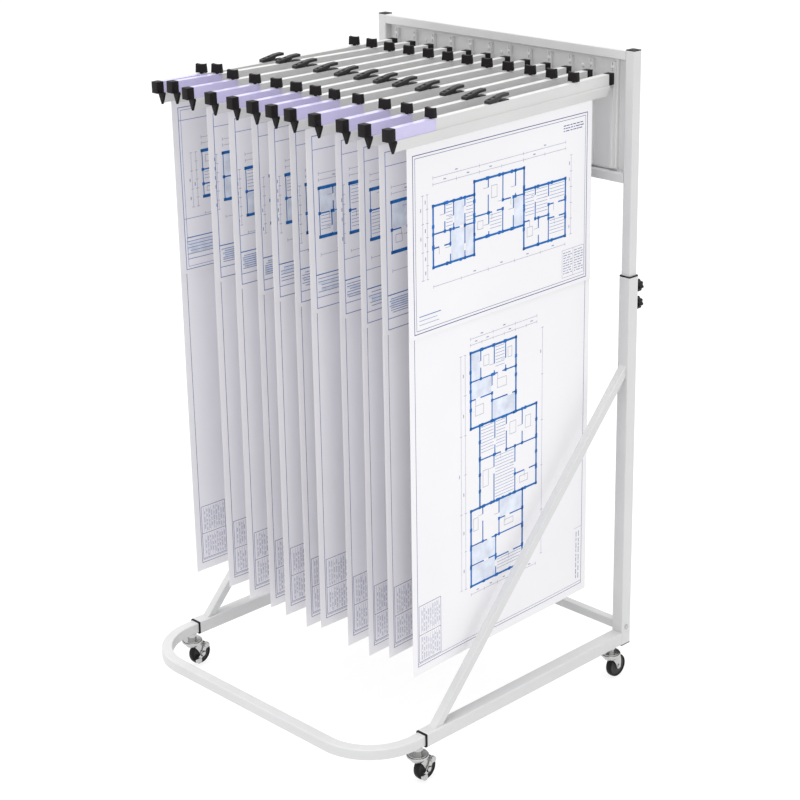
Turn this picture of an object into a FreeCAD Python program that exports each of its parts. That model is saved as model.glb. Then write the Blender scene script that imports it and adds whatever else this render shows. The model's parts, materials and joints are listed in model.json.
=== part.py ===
import FreeCAD, Part
import math
import os

os.makedirs("parts", exist_ok=True)

# A wheeled plan hanging rack: a tubular base with telescoping posts carries a slotted
# panel, and twelve sheet clamps hook into the panel's ribs and reach forward over the base.
# Millimetres.  +X is to the right, +Y to the rear and +Z up from the floor.
# While modelling, Y is measured from the centre of the posts.  Every solid is moved at
# export so that Y = 0 is midway between the front of the base and the rear knobs.

# ---------------------------------------------------------------- driving dimensions
# Square tubes
rail_size = 31.75
rail_wall = 1.5
loop_size = 25.4
loop_wall = 1.5
upper_size = 25.4
upper_wall = 1.5
tube_corner = 2.5
brace_size = 20.0
brace_wall = 1.2

# Base frame
post_spacing = 800.0
rail_top = 118.0
post_top = 1025.0
base_depth = 864.0
loop_reach = 174.125
loop_bend = 135.0
loop_insert = 110.0
brace_post_height = 811.0
brace_foot_setback = 28.0
brace_corner = 2.0
crossbar_height = 22.0
crossbar_depth = 20.0
crossbar_rise = 2.0
crossbar_end_plate = 3.0

# Upper frame and slotted panel
upper_post_bottom = 640.0
upper_top = 1550.0
cross_tube_height = 22.5
panel_height = 260.0
panel_wall = 1.5
panel_face = -2.0
panel_depth = 10.0
panel_margin = 30.0
panel_corner = 8.0
panel_side_corner = 3.0
tab_width = 22.0
tab_length = 40.0
tab_thickness = 2.0
tab_screw_drop = 27.5
ribs_per_tab = 4
rib_pitch = 63.5
rib_width = 8.0
rib_depth = 10.0
rib_end_gap = 8.0
slot_width = 5.0
slot_height = 8.0
slot_pitch = 13.0
slots_below = 2
slots_above = 2

# Hanging clamps
hanger_count = 12
hanger_reach = 743.0
jaw_tip_reach = 723.0
jaw_drop = 104.4
beam_width = 16.5
beam_height = 25.0
beam_wall = 1.4
jaw_height = 25.0
jaw_shoulder_drop = 4.0
jaw_width = 21.0
jaw_wall = 1.3
jaw_tip_width = 3.8
jaw_gap = 1.2
jaw_web = 0.4
front_cap_wall = 2.0
front_cap_top = 0.6
front_cap_length = 18.5
front_cap_end = 2.0
wedge_length = 6.0
wedge_drop = 3.0
wedge_tip_width = 1.0
wedge_neck_width = 18.0
rear_cap_wall = 0.6
rear_cap_length = 18.5
rear_cap_end = 2.0
cap_rear_gap = 4.0
tongue_width = 3.0
tongue_height = 6.0
tongue_level = 40.0
lip_drop = 4.0
lip_thickness = 2.0
lip_clearance = 0.45
nib_width = 7.0
nib_height = 8.0
nib_level = 26.0
nib_clearance = 0.65

# Wing knobs and press lever on each clamp
front_knob_reach = 609.0
rear_knob_reach = 141.0
wing_foot_width = 27.0
wing_top_width = 24.0
wing_height = 21.0
wing_thickness = 10.0
wing_dip = 1.6
wing_neck_radius = 4.0
wing_neck_height = 2.0
wing_screw_radius = 2.5
wing_screw_length = 20.0
lever_reach = 434.0
lever_length = 64.0
lever_width = 15.0
lever_nose_height = 6.5
lever_nose_rise = 8.2
lever_nose_length = 6.0
lever_foot_length = 22.0
lever_heel_reach = 34.0
lever_heel_height = 4.0
lever_arm_start = 43.0
lever_arm_height = 15.0
lever_arm_thickness = 6.5
lever_tip_rise = 1.0
lever_window_starts = (5.5, 19.5)
lever_window_length = 6.5
lever_window_floor = 3.0
lever_slot_start = 11.0
lever_slot_length = 21.0
lever_slot_height = 8.0
lever_slot_side = 0.35
lever_pin_setback = 20.0
lever_pin_height = 4.6
lever_pin_radius = 1.5
lug_width = 5.0
lug_half_top = 4.0
lug_half_foot = 8.0
lug_height = 7.0
saddle_back = 36.0
saddle_height = 1.3
tail_back = 66.0
tail_height = 2.8
tail_ramp = 4.0
tail_width = 13.0

# Drawing sheets: hanging length of the set in each clamp, 0 where the clamp is empty
sheet_width = 610.0
sheet_thickness = 0.6
sheet_tuck = 20.5
sheet_lengths = (1192, 0, 1202, 1207, 1207, 1202, 1211, 1191, 1216, 1207, 1187, 1217)
sheet_setbacks = (24, 0, 37, 35, 39, 30, 36, 29, 45, 32, 29, 40)

# Resting swing of each clamp about its hook, positive towards +X, and its droop, in degrees
rest_swings = (-1.2, -1.9, -2.7, -1.4, -0.5, -0.3, -0.4, -0.7, 0.3, 1.9, 2.1, 2.6)
loaded_droop = 0.6

# Casters
wheel_radius = 29.0
wheel_width = 16.0
wheel_crown = 2.0
wheel_shoulder = 4.0
hub_radius = 9.0
hub_rise = 1.1
hub_gap = 0.4
axle_radius = 3.0
caster_trail = 21.0
fork_wall = 2.0
fork_level = 64.0
fork_dish_radius = 25.5
fork_dish_rise = 6.0
fork_dish_chamfer = 3.5
fork_shoulder_reach = 16.0
fork_skirt_drop = 8.0
fork_boss_radius = 7.0
kingpin_radius = 6.0
kingpin_head_radius = 9.0
kingpin_head_height = 2.2
race_radius = 23.0
race_thickness = 2.0
race_gap = 0.6
stem_end = 3.0
nut_across_flats = 19.0
nut_height = 9.4
inner_nut_height = 8.0
stem_flange_radius = 12.0
front_caster_setback = 16.4
rear_caster_lead = 40.0
brake_thickness = 2.5
brake_upper_reach = 24.0
brake_lower_reach = 20.5
brake_upper_angle = 63.0
brake_lower_angle = 222.0
brake_pad_radius = 7.5
brake_pad_length = 8.0
brake_arm_width = 9.0
brake_arm_spread = 1.8
brake_hub_radius = 8.0
axle_head_radius = 5.0
axle_head_height = 2.0
axle_head_lap = 0.5

# Height clamping knobs
stud_radius = 3.9
knob_spacing = 42.0
knob_drop = 29.0
knob_radius = 15.0
knob_lobes = 7
knob_lobe_radius = 4.6
knob_core_radius = 12.5
knob_length = 16.0
knob_neck_radius = 8.0
knob_neck_length = 8.0

# Plastic collars and plugs
collar_flange = 4.0
collar_sleeve = 20.0
post_collar_flange = 3.0
plug_flange = 2.5
plug_insert = 15.0
plug_wall = 2.0
top_plug_flange = 2.0

# Screws
rail_screw_setbacks = (37.0, 82.0)
screw_radius = 3.0
screw_head_radius = 6.0
screw_head_height = 3.5
rail_screw_length = 10.0
crossbar_screw_grip = 12.0
panel_screw_radius = 2.5
panel_screw_head_radius = 4.5
panel_screw_head_height = 2.6
panel_nut_height = 4.0
panel_nut_across_flats = 8.0
screw_end = 1.0
dome_top_share = 0.6
dome_rim_share = 0.4

# Clearances
running_clearance = 0.06
free_gap = 0.3
screw_clearance = 0.1

# How far a cutting tool runs past the faces that it opens
overshoot = 1.0

# ---------------------------------------------------------------- derived places
rail_bottom = rail_top - rail_size
post_half = rail_size / 2
rail_front = loop_reach - base_depth
rail_centre_level = rail_top - post_half
loop_half = loop_size / 2
loop_bottom = rail_centre_level - loop_half
loop_front_line = -base_depth + loop_half
loop_bend_start = loop_front_line + loop_bend
half_spacing = post_spacing / 2
upper_half = upper_size / 2
upper_inner_x = half_spacing - upper_half
jaw_level = upper_top - jaw_drop
panel_top = upper_top - cross_tube_height
panel_bottom = panel_top - panel_height
rib_front = panel_face - rib_depth
pivot_y = rib_front + panel_wall / 2
beam_bottom = jaw_level + jaw_height
beam_top = beam_bottom + beam_height
cap_rear = -panel_wall / 2 - cap_rear_gap
jaw_rear = cap_rear - rear_cap_length
wedge_front = -jaw_tip_reach - wedge_length / 2
jaw_front = wedge_front + wedge_length
tongue_bottom = jaw_level + tongue_level
slot_bottom = tongue_bottom - free_gap
knob_levels = (post_top - knob_drop, post_top - knob_drop - knob_spacing)
knob_face = post_half + free_gap
knob_back = knob_face + knob_neck_length + knob_length
frame_y = (base_depth - knob_back) / 2
front_caster_y = rail_front - front_caster_setback
rear_caster_y = -rear_caster_lead
hub_half = wheel_width / 2 + hub_rise
fork_leg_inner = hub_half + hub_gap
fork_leg_outer = fork_leg_inner + fork_wall
fork_rim = fork_level + fork_dish_rise
race_level = fork_rim + race_gap
brake_face = fork_leg_outer + free_gap
lever_pin = (lever_pin_setback, lever_pin_height)

V = FreeCAD.Vector
X_AXIS = V(1, 0, 0)
Y_AXIS = V(0, 1, 0)
Z_AXIS = V(0, 0, 1)


# ---------------------------------------------------------------- helpers
def rounded_rectangle(width, depth, radius):
    """A closed wire round the local Z axis with rounded corners."""
    half_w, half_d = width / 2, depth / 2
    edges, points = [], []
    for sx, sy in ((1, -1), (1, 1), (-1, 1), (-1, -1)):
        centre = V(sx * (half_w - radius), sy * (half_d - radius), 0)
        beside = centre + V(sx * radius, 0, 0)
        along = centre + V(0, sy * radius, 0)
        corner = centre + V(sx, sy, 0) * (radius * math.sqrt(0.5))
        start, end = (along, beside) if sx * sy < 0 else (beside, along)
        edges.append(Part.Arc(start, corner, end).toShape())
        points.append((start, end))
    for (_, end), (start, _) in zip(points, points[1:] + points[:1]):
        edges.append(Part.makeLine(end, start))
    return Part.Wire(Part.__sortEdges__(edges))


def rectangle(width, depth):
    """A closed wire round the local Z axis with sharp corners."""
    half_w, half_d = width / 2, depth / 2
    corners = [V(-half_w, -half_d, 0), V(half_w, -half_d, 0), V(half_w, half_d, 0), V(-half_w, half_d, 0)]
    return Part.makePolygon(corners + corners[:1])


def tube_face(width, depth, wall, radius=tube_corner):
    """The hollow section of a tube, centred on the local Z axis."""
    outer = rounded_rectangle(width, depth, radius)
    return Part.makeFace([outer, rectangle(width - 2 * wall, depth - 2 * wall)],
                         "Part::FaceMakerBullseye")


def placed(shape, origin, x_axis, y_axis):
    """A copy with its local axes turned to x_axis, y_axis and moved to origin."""
    turned = shape.copy()
    rotation = FreeCAD.Rotation(x_axis, y_axis, x_axis.cross(y_axis), "XYZ")
    turned.Placement = FreeCAD.Placement(origin, rotation).multiply(shape.Placement)
    return turned


def tube_between(start, end, x_axis, width, depth, wall, radius=tube_corner):
    """A straight hollow tube from start to end; width lies along x_axis."""
    run = end - start
    tube = tube_face(width, depth, wall, radius).extrude(V(0, 0, run.Length))
    return placed(tube, start, x_axis, run.normalize().cross(x_axis))


def box(x0, x1, y0, y1, z0, z1):
    return Part.makeBox(x1 - x0, y1 - y0, z1 - z0, V(x0, y0, z0))


def cylinder(radius, start, axis, length):
    return Part.makeCylinder(radius, length, start, axis)


def prism(points, origin, u_axis, v_axis, length):
    """Extrudes the outline given in (u, v) along u x v, centred on the origin."""
    normal = u_axis.cross(v_axis)
    start = origin - normal * (length / 2)
    corners = [start + u_axis * u + v_axis * v for u, v in points]
    return Part.Face(Part.makePolygon(corners + corners[:1])).extrude(normal * length)


def turned(points, origin=V(0, 0, 0), axis=Z_AXIS, radial=X_AXIS):
    """Revolves an outline of (radius, height) points about the axis."""
    corners = [origin + radial * r + axis * h for r, h in points]
    face = Part.Face(Part.makePolygon(corners + corners[:1]))
    return face.revolve(origin, axis, 360)


def hexagon(across_flats, origin, axis, height):
    """A hexagonal nut blank that stands on the origin."""
    radius = across_flats / math.sqrt(3)
    side = X_AXIS if abs(axis.z) > 0.5 else Z_AXIS
    other = axis.cross(side)
    angles = [math.radians(60 * k) for k in range(6)]
    corners = [origin + side * (radius * math.cos(a)) + other * (radius * math.sin(a)) for a in angles]
    return Part.Face(Part.makePolygon(corners + corners[:1])).extrude(axis * height)


def mirrored(shape):
    """The same shape on the other side of the middle plane."""
    return shape.mirror(V(0, 0, 0), X_AXIS)


def export(node, solids):
    """Writes one node, as one or more separate solids, in the object's frame."""
    moved = []
    for solid in solids:
        copy = solid.copy()
        copy.translate(V(0, frame_y, 0))
        moved.append(copy)
    shape = moved[0] if len(moved) == 1 else Part.makeCompound(moved)
    shape.exportStep(f"parts/{node}.step")


# ---------------------------------------------------------------- base frame
def side_frame():
    """Right side: rail, lower post and brace, welded to one another."""
    rail = tube_between(V(half_spacing, rail_front, rail_centre_level),
                        V(half_spacing, -post_half, rail_centre_level),
                        X_AXIS, rail_size, rail_size, rail_wall)
    post = tube_between(V(half_spacing, 0, rail_bottom), V(half_spacing, 0, post_top),
                        X_AXIS, rail_size, rail_size, rail_wall)
    drill = screw_radius + screw_clearance
    for setback in rail_screw_setbacks:
        at = V(half_spacing, rail_front + setback, rail_bottom - overshoot)
        rail = rail.cut(cylinder(drill, at, Z_AXIS, post_half))
    at = V(half_spacing, rear_caster_y, rail_bottom - overshoot)
    rail = rail.cut(cylinder(kingpin_radius + screw_clearance, at, Z_AXIS, post_half))
    for level in knob_levels:
        at = V(half_spacing, 0, level)
        post = post.cut(cylinder(stud_radius + running_clearance, at, Y_AXIS, rail_size))
    at = V(half_spacing - rail_size, 0, crossbar_level())
    post = post.cut(cylinder(drill, at, X_AXIS, 2 * rail_size))
    return [rail, post, brace()]


def brace():
    """A slanting tube, trimmed square to the post's face and flat to the rail's top."""
    foot = V(half_spacing, rail_front + brace_foot_setback, rail_top)
    head = V(half_spacing, -post_half, brace_post_height)
    run = (head - foot).normalize()
    inward = run.cross(X_AXIS) * -1
    if inward.z > 0:
        inward = inward * -1
    offset = inward * (brace_size / 2)
    extra = run * (2 * brace_size)
    tube = tube_between(foot + offset - extra, head + offset + extra,
                        X_AXIS, brace_size, brace_size, brace_wall, brace_corner)
    reach = brace_size
    keep = box(half_spacing - reach, half_spacing + reach,
               foot.y - reach, -post_half, rail_top, head.z + reach)
    return tube.common(keep)


def crossbar_level():
    return rail_top + crossbar_rise + crossbar_height / 2


def rear_crossbar():
    """Tube between the lower posts, closed by drilled end plates."""
    half = half_spacing - post_half
    start, end = V(-half, 0, crossbar_level()), V(half, 0, crossbar_level())
    bar = tube_between(start, end, Y_AXIS, crossbar_depth, crossbar_height, rail_wall)
    for side in (-1, 1):
        plate = tube_core(crossbar_depth, crossbar_height, rail_wall, crossbar_end_plate)
        plate = placed(plate, V(side * (half - crossbar_end_plate / 2), 0, crossbar_level()),
                       Y_AXIS, Z_AXIS)
        bar = bar.fuse(plate)
        hole = cylinder(screw_radius + screw_clearance,
                        V(side * (half - rail_size), 0, crossbar_level()), X_AXIS * side, 2 * rail_size)
        bar = bar.cut(hole)
    return bar.removeSplitter()


def tube_core(width, depth, wall, length):
    """A block that fills a tube's bore, centred on the origin."""
    block = Part.Face(rectangle(width - 2 * wall, depth - 2 * wall)).extrude(V(0, 0, length))
    block.translate(V(0, 0, -length / 2))
    return block


def front_loop():
    """U-shaped front tube: its arms slide into the rails, its corners are wide bends."""
    section = tube_face(loop_size, loop_size, loop_wall)
    arm_end = rail_front + loop_insert
    right = placed(section, V(half_spacing, arm_end, rail_centre_level), X_AXIS, Z_AXIS)
    arm = right.extrude(V(0, loop_bend_start - arm_end, 0))
    at_bend = placed(section, V(half_spacing, loop_bend_start, rail_centre_level), X_AXIS, Z_AXIS)
    centre = V(half_spacing - loop_bend, loop_bend_start, 0)
    bend = at_bend.revolve(centre, Z_AXIS, -90)
    front_half = half_spacing - loop_bend
    front = tube_between(V(-front_half, loop_front_line, rail_centre_level),
                         V(front_half, loop_front_line, rail_centre_level),
                         Y_AXIS, loop_size, loop_size, loop_wall)
    loop = arm.fuse([bend, front, mirrored(bend), mirrored(arm)]).removeSplitter()
    for side in (-1, 1):
        for setback in rail_screw_setbacks:
            at = V(side * half_spacing, rail_front + setback, rail_bottom)
            loop = loop.cut(cylinder(screw_radius + screw_clearance, at, Z_AXIS, loop_half))
        at = V(side * half_spacing, front_caster_y, rail_bottom)
        loop = loop.cut(cylinder(kingpin_radius + screw_clearance, at, Z_AXIS, loop_half))
    return loop


def collar(outer, bore, bore_corner, flange, outer_wall, sleeve):
    """A plastic bush along +Z: its flange covers the tube's end, its sleeve fills the gap."""
    flange_face = Part.makeFace([rounded_rectangle(outer, outer, tube_corner),
                                 rounded_rectangle(bore, bore, bore_corner)],
                                "Part::FaceMakerBullseye")
    ring = outer - 2 * outer_wall
    sleeve_face = Part.makeFace([rectangle(ring, ring), rounded_rectangle(bore, bore, bore_corner)],
                                "Part::FaceMakerBullseye")
    body = flange_face.extrude(V(0, 0, -flange))
    return body.fuse(sleeve_face.extrude(V(0, 0, sleeve))).removeSplitter()


def plug(outer, wall, flange, insert):
    """A push-in tube end: a solid flange below and a hollow insert above it."""
    base = Part.Face(rounded_rectangle(outer, outer, tube_corner)).extrude(V(0, 0, -flange))
    bore = outer - 2 * wall
    hollow = bore - 2 * plug_wall
    core = Part.makeFace([rectangle(bore, bore), rectangle(hollow, hollow)], "Part::FaceMakerBullseye")
    return base.fuse(core.extrude(V(0, 0, insert))).removeSplitter()


def base_plastics():
    """Loop collars, lower-post collars and post foot plugs."""
    pieces = []
    for side in (-1, 1):
        x = side * half_spacing
        loop_collar = collar(rail_size, loop_size, tube_corner, collar_flange, rail_wall, collar_sleeve)
        pieces.append(placed(loop_collar, V(x, rail_front, rail_centre_level), X_AXIS, Z_AXIS * -1))
        post_collar = collar(rail_size, upper_size + 2 * free_gap, tube_corner + free_gap,
                             post_collar_flange, rail_wall, collar_sleeve)
        pieces.append(placed(post_collar, V(x, 0, post_top), X_AXIS, Y_AXIS * -1))
        foot = plug(rail_size, rail_wall, plug_flange, plug_insert)
        pieces.append(placed(foot, V(x, 0, rail_bottom), X_AXIS, Y_AXIS))
    return pieces


# ---------------------------------------------------------------- steel hardware of the base
def dome_screw(radius, head_radius, head_height, length, origin, axis, radial):
    """Screw along +axis from under its domed head, which stands behind the origin."""
    dome = [(0, -head_height), (head_radius * dome_top_share, -head_height),
            (head_radius, -head_height * dome_rim_share),
            (head_radius, 0), (radius, 0), (radius, length), (0, length)]
    return turned(dome, origin, axis, radial)


def caster_stem(x, y, seat, wall):
    """Stem with its upper race, the lock nut under the tube and the nut inside it."""
    race_top = race_level + race_thickness
    stem_top = seat + wall + inner_nut_height + stem_end
    head_top = fork_level - free_gap
    head_bottom = head_top - kingpin_head_height
    stem = turned([(0, head_bottom), (kingpin_head_radius, head_bottom), (kingpin_head_radius, head_top),
                   (kingpin_radius, head_top), (kingpin_radius, race_level),
                   (race_radius, race_level), (race_radius, race_top), (kingpin_radius, race_top),
                   (kingpin_radius, stem_top), (0, stem_top)], V(x, y, 0))
    bore = kingpin_radius
    nut = hexagon(nut_across_flats, V(x, y, race_top), Z_AXIS, nut_height)
    flange_level = race_top + nut_height
    nut = nut.fuse(cylinder(stem_flange_radius, V(x, y, flange_level), Z_AXIS, seat - flange_level))
    nut = nut.cut(cylinder(bore, V(x, y, 0), Z_AXIS, stem_top))
    inner = hexagon(nut_across_flats, V(x, y, seat + wall), Z_AXIS, inner_nut_height)
    inner = inner.cut(cylinder(bore, V(x, y, 0), Z_AXIS, stem_top))
    return [stem, nut, inner]


def base_hardware():
    pieces = []
    for x, y, seat, wall in caster_places():
        pieces += caster_stem(x, y, seat, wall)
    for side in (-1, 1):
        for setback in rail_screw_setbacks:
            at = V(side * half_spacing, rail_front + setback, rail_bottom)
            pieces.append(dome_screw(screw_radius, screw_head_radius, screw_head_height,
                                     rail_screw_length, at, Z_AXIS, X_AXIS))
        at = V(side * (half_spacing + post_half), 0, crossbar_level())
        pieces.append(dome_screw(screw_radius, screw_head_radius, screw_head_height,
                                 rail_size + crossbar_screw_grip, at, X_AXIS * -side, Z_AXIS))
    return pieces


# ---------------------------------------------------------------- casters
def caster_places():
    """(x, y, underside of the tube, wall of the tube) of the casters, fronts first."""
    fronts = [(side * half_spacing, front_caster_y, loop_bottom, loop_wall) for side in (-1, 1)]
    rears = [(side * half_spacing, rear_caster_y, rail_bottom, rail_wall) for side in (-1, 1)]
    return fronts + rears


def caster_fork(axle_end):
    """Dished crown on the kingpin, two legs and the axle that joins them."""
    bore = kingpin_radius + running_clearance
    outer, inner = fork_dish_radius, fork_dish_radius - fork_wall
    foot = outer - fork_dish_chamfer
    knee = fork_level + fork_dish_chamfer
    crown = turned([(bore, fork_level), (foot, fork_level), (outer, knee - fork_wall / 4),
                    (outer, fork_rim), (inner, fork_rim), (inner, knee),
                    (foot - fork_wall / 2, fork_level + fork_wall), (bore, fork_level + fork_wall)])
    level = wheel_radius
    trail = caster_trail
    boss = fork_boss_radius
    skirt = fork_level - fork_skirt_drop
    outline = [(trail + boss, level), (trail + boss, skirt), (trail + boss - fork_wall, fork_level),
               (-fork_shoulder_reach, fork_level), (-fork_shoulder_reach + fork_wall, skirt + fork_wall),
               (0, skirt), (trail - boss, level)]
    legs = []
    for side in (-1, 1):
        x = side * (fork_leg_inner + fork_wall / 2)
        leg = prism(outline, V(x, 0, 0), Y_AXIS, Z_AXIS, fork_wall)
        end = cylinder(boss, V(x - fork_wall / 2, trail, level), X_AXIS, fork_wall)
        legs.append(leg.fuse(end))
    head_lap = axle_head_height - axle_head_lap
    axle = cylinder(axle_radius, V(-fork_leg_outer - head_lap, trail, level), X_AXIS,
                    fork_leg_outer + head_lap + axle_end)
    heads = [cylinder(axle_head_radius, V(x, trail, level), X_AXIS, axle_head_height)
             for x in (-fork_leg_outer - axle_head_height, axle_end - axle_head_height)]
    return crown.fuse(legs + [axle] + heads).removeSplitter()


def caster_wheel():
    """Crowned tread with a hub that stands out a little on both sides."""
    half = wheel_width / 2
    bore = axle_radius + running_clearance
    outline = [(bore, -hub_half), (hub_radius, -hub_half), (hub_radius, -half),
               (wheel_radius - wheel_crown, -half), (wheel_radius, -half + wheel_shoulder)]
    outline += [(r, -h) for r, h in reversed(outline)]
    return turned(outline, V(0, caster_trail, wheel_radius), X_AXIS, Z_AXIS)


def brake_lever():
    """Rocker on the axle with a foot pad at each end, outside the fork."""
    pivot = V(brake_face, caster_trail, wheel_radius)
    body = cylinder(brake_hub_radius, pivot, X_AXIS, brake_thickness)
    for angle, reach in ((brake_upper_angle, brake_upper_reach), (brake_lower_angle, brake_lower_reach)):
        out = V(0, math.cos(math.radians(angle)), math.sin(math.radians(angle)))
        across = X_AXIS.cross(out)
        near, far = across * (brake_arm_width / 2), across * (brake_arm_width / 2 + brake_arm_spread)
        foot, tip = pivot, pivot + out * reach
        corners = [foot - near, foot + near, tip + far, tip - far]
        arm = Part.Face(Part.makePolygon(corners + corners[:1])).extrude(X_AXIS * brake_thickness)
        pad = cylinder(brake_pad_radius, tip, X_AXIS, brake_pad_length)
        body = body.fuse([arm, pad])
    hole = cylinder(axle_radius + running_clearance, pivot - X_AXIS * overshoot, X_AXIS,
                    brake_thickness + 2 * overshoot)
    return body.cut(hole).removeSplitter()


# ---------------------------------------------------------------- height knobs
def height_knob():
    """Lobed knob along +Y with its neck and threaded stud; its face is at y = 0."""
    ring = knob_radius - knob_lobe_radius
    body = cylinder(knob_core_radius, V(0, knob_neck_length, 0), Y_AXIS, knob_length)
    lobes = []
    for k in range(knob_lobes):
        angle = 2 * math.pi * k / knob_lobes
        at = V(ring * math.sin(angle), knob_neck_length, ring * math.cos(angle))
        lobes.append(cylinder(knob_lobe_radius, at, Y_AXIS, knob_length))
    neck = cylinder(knob_neck_radius, V(0, 0, 0), Y_AXIS, knob_neck_length)
    reach = knob_face - upper_half - free_gap
    stud = cylinder(stud_radius, V(0, -reach, 0), Y_AXIS, reach + knob_neck_length)
    return body.fuse(lobes + [neck, stud]).removeSplitter()


# ---------------------------------------------------------------- upper frame
def panel_frame():
    """Two inner posts and two cross tubes, with tabs that hold the slotted panel."""
    pieces = []
    for side in (-1, 1):
        x = side * half_spacing
        pieces.append(tube_between(V(x, 0, upper_post_bottom), V(x, 0, upper_top),
                                   X_AXIS, upper_size, upper_size, upper_wall))
    for top in (upper_top, panel_bottom):
        level = top - cross_tube_height / 2
        pieces.append(tube_between(V(-upper_inner_x, 0, level), V(upper_inner_x, 0, level),
                                   Y_AXIS, upper_size, cross_tube_height, upper_wall))
    back = panel_face + panel_wall
    for x in panel_screw_places():
        tab = box(x - tab_width / 2, x + tab_width / 2, back, back + tab_thickness,
                  panel_top - tab_length, panel_top)
        hole = cylinder(panel_screw_radius + screw_clearance, V(x, back - overshoot,
                                                                panel_top - tab_screw_drop),
                        Y_AXIS, tab_thickness + 2 * overshoot)
        pieces.append(tab.cut(hole))
    return pieces


def rib_places():
    middle = (hanger_count + 1) / 2
    return [(k - middle) * rib_pitch for k in range(1, hanger_count + 1)]


def panel_screw_places():
    """Midway between two ribs, every few ribs, evenly about the middle."""
    ribs = rib_places()
    gaps = [(a + b) / 2 for a, b in zip(ribs, ribs[1:])]
    middle = len(gaps) // 2
    return [gap for k, gap in enumerate(gaps) if (k - middle) % ribs_per_tab == 0]


def slotted_panel():
    """Pressed pan with a hollow upright rib, pierced by a ladder of slots, for each clamp."""
    half = upper_inner_x - panel_margin
    back = panel_face + panel_depth
    pan = box(-half, half, panel_face, back, panel_bottom, panel_top)
    pan = rounded_pan(pan, panel_face, panel_bottom, half, panel_corner, panel_side_corner)
    inner = box(-half + panel_wall, half - panel_wall, panel_face + panel_wall, back + overshoot,
                panel_bottom + panel_wall, panel_top + overshoot)
    inner = rounded_pan(inner, panel_face + panel_wall, panel_bottom + panel_wall, half - panel_wall,
                        panel_corner - panel_wall, panel_side_corner - panel_wall)
    pan = pan.cut(inner)
    flanges = []
    for side in (-1, 1):
        x0, x1 = sorted((side * (half - panel_wall), side * upper_inner_x))
        flanges.append(box(x0, x1, back - panel_wall, back, panel_bottom, panel_top))
    ribs, hollows, slots = [], [], []
    bottom, top = panel_bottom + rib_end_gap, panel_top - rib_end_gap
    for x in rib_places():
        ribs.append(box(x - rib_width / 2, x + rib_width / 2, rib_front, panel_face + panel_wall / 2,
                        bottom, top))
        hollow = rib_width / 2 - panel_wall
        hollows.append(box(x - hollow, x + hollow, rib_front + panel_wall, panel_face + 2 * panel_wall,
                           bottom + panel_wall, top - panel_wall))
        for k in range(-slots_below, slots_above + 1):
            low = slot_bottom + k * slot_pitch
            slots.append(box(x - slot_width / 2, x + slot_width / 2, rib_front - overshoot,
                             rib_front + panel_wall + overshoot, low, low + slot_height))
    holes = [cylinder(panel_screw_radius + screw_clearance, V(x, panel_face - overshoot,
                                                              panel_top - tab_screw_drop),
                      Y_AXIS, 4 * panel_wall) for x in panel_screw_places()]
    shell = pan.fuse(flanges + ribs).removeSplitter()
    return shell.cut(Part.makeCompound(hollows)).cut(Part.makeCompound(slots + holes))


def rounded_pan(block, face_y, bottom, half, bottom_radius, side_radius):
    """Rounds the pan's lower front edge and its two upright front edges."""
    lower, upright = [], []
    for edge in block.Edges:
        ends = [vertex.Point for vertex in edge.Vertexes]
        if all(abs(p.y - face_y) < 1e-6 for p in ends):
            if all(abs(p.z - bottom) < 1e-6 for p in ends):
                lower.append(edge)
            elif all(abs(abs(p.x) - half) < 1e-6 for p in ends):
                upright.append(edge)
    block = block.makeFillet(side_radius, upright)
    lower = [e for e in block.Edges
             if all(abs(v.Point.z - bottom) < 1e-6 and v.Point.y < face_y + side_radius + 1e-6
                    for v in e.Vertexes)]
    return block.makeFillet(bottom_radius, lower) if bottom_radius > 0 else block


def panel_screws():
    """Button-head screws through panel and tab, each with its nut behind."""
    pieces = []
    level = panel_top - tab_screw_drop
    grip = panel_wall + tab_thickness
    for x in panel_screw_places():
        pieces.append(dome_screw(panel_screw_radius, panel_screw_head_radius, panel_screw_head_height,
                                 grip + panel_nut_height + screw_end, V(x, panel_face, level), Y_AXIS,
                                     X_AXIS))
        nut = hexagon(panel_nut_across_flats, V(x, panel_face + grip, level), Y_AXIS, panel_nut_height)
        pieces.append(nut.cut(cylinder(panel_screw_radius, V(x, panel_face, level), Y_AXIS,
                                       grip + panel_nut_height + overshoot)))
    return pieces


def top_plugs():
    pieces = []
    for side in (-1, 1):
        cap = plug(upper_size, upper_wall, top_plug_flange, plug_insert)
        pieces.append(placed(cap, V(side * half_spacing, 0, upper_top), X_AXIS, Y_AXIS * -1))
    return pieces


# ---------------------------------------------------------------- hanging clamps
# A clamp is modelled straight along Y with its hook's turning axis at x = y = 0.
def clamp_beam():
    """Hollow box beam with a threaded hole in its top wall for each wing screw."""
    outer = box(-beam_width / 2, beam_width / 2, -hanger_reach + front_cap_end, cap_rear - rear_cap_end,
                beam_bottom, beam_top)
    bore = beam_width / 2 - beam_wall
    inner = box(-bore, bore, -hanger_reach, 0, beam_bottom + beam_wall, beam_top - beam_wall)
    beam = outer.cut(inner)
    for reach in (front_knob_reach, rear_knob_reach):
        at = V(0, -reach, beam_top - 2 * beam_wall)
        beam = beam.cut(cylinder(wing_screw_radius + running_clearance, at, Z_AXIS, 4 * beam_wall))
    return beam


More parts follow.
